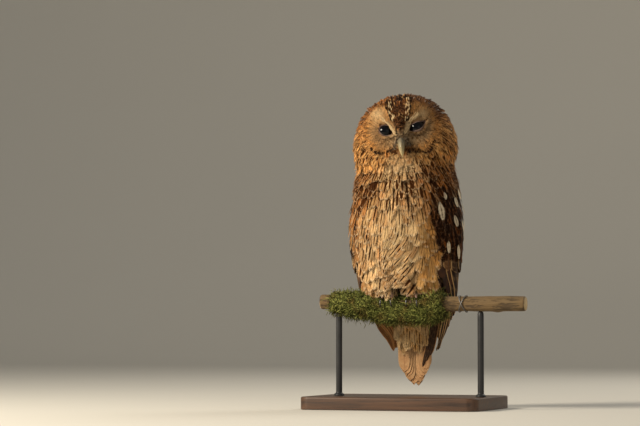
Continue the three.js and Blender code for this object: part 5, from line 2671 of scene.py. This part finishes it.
@dataclass
class Moss:
    """The sleeve of moss: a dense mat under thousands of curved strands."""

    strands: int = 15000
    voxel: float = 1.6 * MM
    # How deep the mat lies, the strands' lengths and widths, all in millimetres, and how far up they lean.
    depth: float = 2.6
    length: Pair = (4.0, 10.0)
    width: Pair = (0.5, 1.1)
    lean: Pair = (0.35, 1.5)
    # The moss stands higher in front of the owl's left wing, round this place.
    tall_at: float = 38 * MM
    finish: MossFinish = MossFinish("moss_dry")

    def mat(self) -> Item:
        """The dense inner mat, lumpy and sunk under the strands.

        Returns:
            The mat.
        """
        mat = duplicate("perch_moss")
        reform(mat, self.voxel, 6)
        points, normals = points_of(mat), normals_of(mat)
        lumps = ripple(points, 9 * MM, 51) * 0.8 + ripple(points, 4 * MM, 52) * 0.5
        place_points(mat, points - normals * (self.depth - lumps)[:, None] * MM)
        chance = np.clip(0.5 + 0.3 * ripple(points, 12 * MM, 53), 0, 1)
        add_values(mat, vane=np.stack([np.full_like(chance, 0.3), np.zeros_like(chance), chance], -1))
        smooth(mat)
        return settle(mat, "moss_mat")

    def grow(self, mat: Item, rng: Rng) -> Feathers:
        """Scatters strands over the mat, each of two blades that droop.

        Args:
            mat: The mat.
            rng: Random numbers.

        Returns:
            The strands.
        """
        count, faces = self.strands, mat.data.polygons
        found = {
            "center": np.empty((len(faces), 3)), "normal": np.empty((len(faces), 3)),
            "area": np.empty(len(faces))
        }
        for key, rows in found.items():
            faces.foreach_get(key, rows.reshape(-1))
        centres, normals, areas = found.values()
        chosen = rng.choice(len(areas), count, p=areas / areas.sum())
        root = centres[chosen] + rng.normal(0, 0.5 * MM, (count, 3))
        normal = normals[chosen]
        sweep = tangential(rng.normal(size=(count, 3)), normal)
        lift = rng.uniform(*self.lean, (count, 1))
        way = unit(normal * lift + sweep * rng.uniform(0.5, 1.2, (count, 1)))
        length = rng.uniform(*self.length, (count, 1)) * MM
        length = length * np.where(rng.uniform(size=(count, 1)) < 0.05, 1.7, 1.0)
        tall = step(np.abs(root[:, :1] - self.tall_at), 26 * MM, 12 * MM) * step(normal[:, 2:3], 0.2, 0.7)
        length = length * (1 + 0.8 * tall)
        under = np.clip(-normal[:, 2:3], 0, 1)
        bend = unit(way + sweep * 0.7 + np.array([0, 0, -0.5]) * (0.3 + under))
        middle = root + way * length * 0.5
        tip = middle + bend * length * 0.5
        width = rng.uniform(*self.width, count) * MM
        chance = rng.uniform(size=count)
        side = unit(np.cross(way, normal) + 1e-6)
        shine = unit(normal + 0.5 * way)
        round_perch = np.arctan2(root[:, 1] - PERCH_DEPTH, root[:, 2] - PERCH_HEIGHT) / TAU
        place = 0.02 + 0.95 * (np.stack([root[:, 0] * 3, round_perch], -1) + 0.5)
        feathers = Feathers()
        pieces = ((root, middle, (0.0, 0.62)), (middle - way * 0.4 * MM, tip, (0.5, 1.0)))
        for k, (start, end, reach) in enumerate(pieces):
            up = unit(np.cross(end - start, side))
            lengthwise = tuple(np.full(count, share) for share in reach)
            feathers.blades(start, end, up, width, lengthwise, (0.0, 0.0), 0.0, shine)
            feathers.number(k, chance, place)
        return feathers

    def build(self) -> None:
        """Makes the mat and its strands."""
        mat = self.mat()
        strands = self.grow(mat, np.random.default_rng(SEED + 30))
        finish_piece(mat, self.finish, ["perch_moss"])
        finish_piece(strands.build("moss_strands"), self.finish)


def round_edges(item: Item, reach: float, segments: int, chosen: Callable[[Vector, Vector], bool]) -> None:
    """Bevels edges.

    Args:
        item: The object.
        reach: The bevel's width.
        segments: How many steps it has.
        chosen: Whether an edge counts, from its two ends.
    """
    with editing_edges(item, chosen):
        bpy.ops.mesh.bevel(offset=reach, segments=segments, affect="EDGES")


@dataclass
class Stand:
    """The plain display stand: a stained board with two black rods."""

    corner: float = 14 * MM
    ease: float = 2 * MM
    # How far the rod's foot ring stands out, and how high it is.
    foot: float = 2.6 * MM
    foot_height: float = 3.4 * MM

    def board(self) -> Item:
        """Models the board, with round corners and an eased upper edge.

        Returns:
            The board.
        """
        low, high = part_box("stand_base")
        choose()
        bpy.ops.mesh.primitive_cube_add(size=1, location=(low + high) / 2, scale=high - low)
        board = settle(bpy.context.object, "stand_board")
        round_edges(board, self.corner, 10, lambda a, b: abs(a.z - b.z) > self.corner)
        round_edges(board, self.ease, 4, lambda a, b: min(a.z, b.z) > high.z - 0.1 * MM)
        bpy.ops.object.shade_smooth_by_angle(angle=math.radians(35))
        return board

    def rod(self, side: Side) -> Item:
        """Models one rod.

        Args:
            side: Which one.

        Returns:
            The rod.
        """
        low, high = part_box(f"stand_rod_{side.word}")
        middle, radius = (low + high) / 2, (high.x - low.x) / 2

        def place(turn: Array, share: Array) -> Array:
            """A straight rod with a small foot ring."""
            z = low.z + (high.z - low.z) * share**2.2
            reach = radius + self.foot * step(z, low.z + self.foot_height, low.z + 0.82 * self.foot_height)
            return np.stack([middle.x + reach * np.cos(turn), middle.y + reach * np.sin(turn), z], -1)

        return lofted(f"rod_{side.word}", 40, 30, place)

    def build(self) -> None:
        """Makes the board and the rods."""
        finish_piece(self.board(), WoodFinish("board_stained"), ["stand_base"])
        paint = MetalFinish("rod_satin", (0.02, 0.02, 0.021), 0.3, 0.38)
        for side in Side:
            finish_piece(self.rod(side), paint, [f"stand_rod_{side.word}"])


# ---- studio


@dataclass(frozen=True)
class Lamp:
    """A soft round lamp: where it hangs, its width, its power in watts and its colour."""

    name: str
    place: Colour
    size: float
    power: float
    colour: Colour


@dataclass
class Studio:
    """Camera, plain floor and backdrop, and soft light."""

    azimuth: float = math.radians(20)
    elevation: float = math.radians(-2.5)
    distance: float = 3.2
    lens: float = 140.6
    sensor: float = 36
    clip: Pair = (0.05, 50)
    scale: float = 1.28 * MM
    target: Colour = (0.0, PERCH_DEPTH, PERCH_HEIGHT)
    offset: Pair = (81.0, 91.0)
    # The floor's width, its middle's depth, its wall's height and the sweep's radius.
    floor: float = 30
    floor_depth: float = -10.5
    wall: float = 5
    sweep: float = 1.6
    # Where the lamps point, the lamps, and the light from all round.
    aim: Colour = (0, 0, 0.22)
    lamps: tuple[Lamp, ...] = (
        Lamp("key", (-1.32, -1.42, 1.15), 0.7, 54, (1.0, 0.90, 0.74)),
        Lamp("fill", (1.6, -1.7, 0.7), 1.6, 3, (1.0, 0.93, 0.84)),
        Lamp("rear", (0.9, 1.6, 1.5), 1.2, 14, (1.0, 0.95, 0.86)),
    )
    air: Colour = (0.98, 0.96, 0.92)
    air_strength: float = 0.22

    def camera(self) -> None:
        """Makes the camera, from just below the horizon, level and without shift."""
        a, e = self.azimuth, self.elevation
        back = Vector((math.sin(a) * math.cos(e), -math.cos(a) * math.cos(e), math.sin(e)))
        right = Vector((math.cos(a), math.sin(a), 0))
        up = back.cross(right)
        data = bpy.data.cameras.new("camera")
        data.lens, data.sensor_width = self.lens, self.sensor
        data.clip_start, data.clip_end = self.clip
        camera = link("camera", data)
        aside = (up * self.offset[1] - right * self.offset[0]) * self.scale
        camera.location = Vector(self.target) + back * self.distance + aside
        camera.rotation_euler = (-back).to_track_quat("-Z", "Y").to_euler()
        bpy.context.scene.camera = camera

    def backdrop(self) -> None:
        """Makes the floor, swept up behind into a wall."""
        choose()
        bpy.ops.mesh.primitive_plane_add(size=self.floor, location=(0, self.floor_depth, -0.5 * MM))
        floor = settle(bpy.context.object, "floor_sweep")
        far = max(v.co.y for v in floor.data.vertices)
        with editing_edges(floor, lambda a, b: min(a.y, b.y) > far - MM):
            bpy.ops.mesh.extrude_region_move(TRANSFORM_OT_translate={"value": (0, 0, self.wall)})
        round_edges(floor, self.sweep, 16, lambda a, b: abs(a.x - b.x) > 0.9 * self.floor)
        smooth(floor)
        floor.data.materials.append(StageFinish("stage_pale", rgb(226, 222, 212)).material())

    def light(self, lamp: Lamp) -> None:
        """Hangs a lamp, aimed at the owl.

        Args:
            lamp: The lamp.
        """
        data = bpy.data.lights.new(lamp.name, "AREA")
        data.shape, data.size, data.energy, data.color = "DISK", lamp.size, lamp.power, lamp.colour
        item = link(lamp.name, data)
        item.location = lamp.place
        item.rotation_euler = (Vector(self.aim) - item.location).to_track_quat("-Z", "Y").to_euler()

    def build(self) -> None:
        """Makes everything round the owl."""
        self.camera()
        self.backdrop()
        for lamp in self.lamps:
            self.light(lamp)
        world = bpy.data.worlds.new("studio_air")
        world.use_nodes = True
        sky = next(n for n in world.node_tree.nodes if n.type == "BACKGROUND")
        sky.inputs["Color"].default_value = (*self.air, 1)
        sky.inputs["Strength"].default_value = self.air_strength
        bpy.context.scene.world = world
        bpy.context.scene.view_settings.view_transform = "Standard"


def main() -> None:
    """Builds the owl, its perch and its stand."""
    logging.basicConfig(level=logging.INFO, format="%(name)s: %(message)s")
    Studio().build()
    face = Face()
    markings = Markings(face)
    skin = Skin(face, markings)
    surface = skin.surface()
    LOG.info("plumage measured, %.0f mm from crown to belly", surface.length / MM)
    # The back's line with the wings folded, as heights with their depths.
    lean = (
        (0.073, 0.038), (0.097, 0.033), (0.125, 0.026), (0.149, 0.018), (0.176, 0.012), (0.216, 0.008),
        (0.400, 0.006)
    )
    solids = [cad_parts[n] for n in ("head", "neck", "trunk", "wing_left", "wing_right")]
    outer = Surface(solids, 332 * MM, 73 * MM, (65 * MM, 30 * MM), lean, (300, 200), 2.0 * MM, 9 * MM)
    LOG.info("wings measured")
    skin.build(surface, outer)
    Eyes(face).build()
    coat = CoatOfFeathers(face, markings, surface, outer)
    coat.build()
    for side in Side:
        Wing(side, markings, outer).build()
    Tail(markings, coat.finish).build()
    for piece in (Bill(face), Claws(), Branch(), Moss(), Stand()):
        piece.build()


if __name__ == "__main__":
    main()
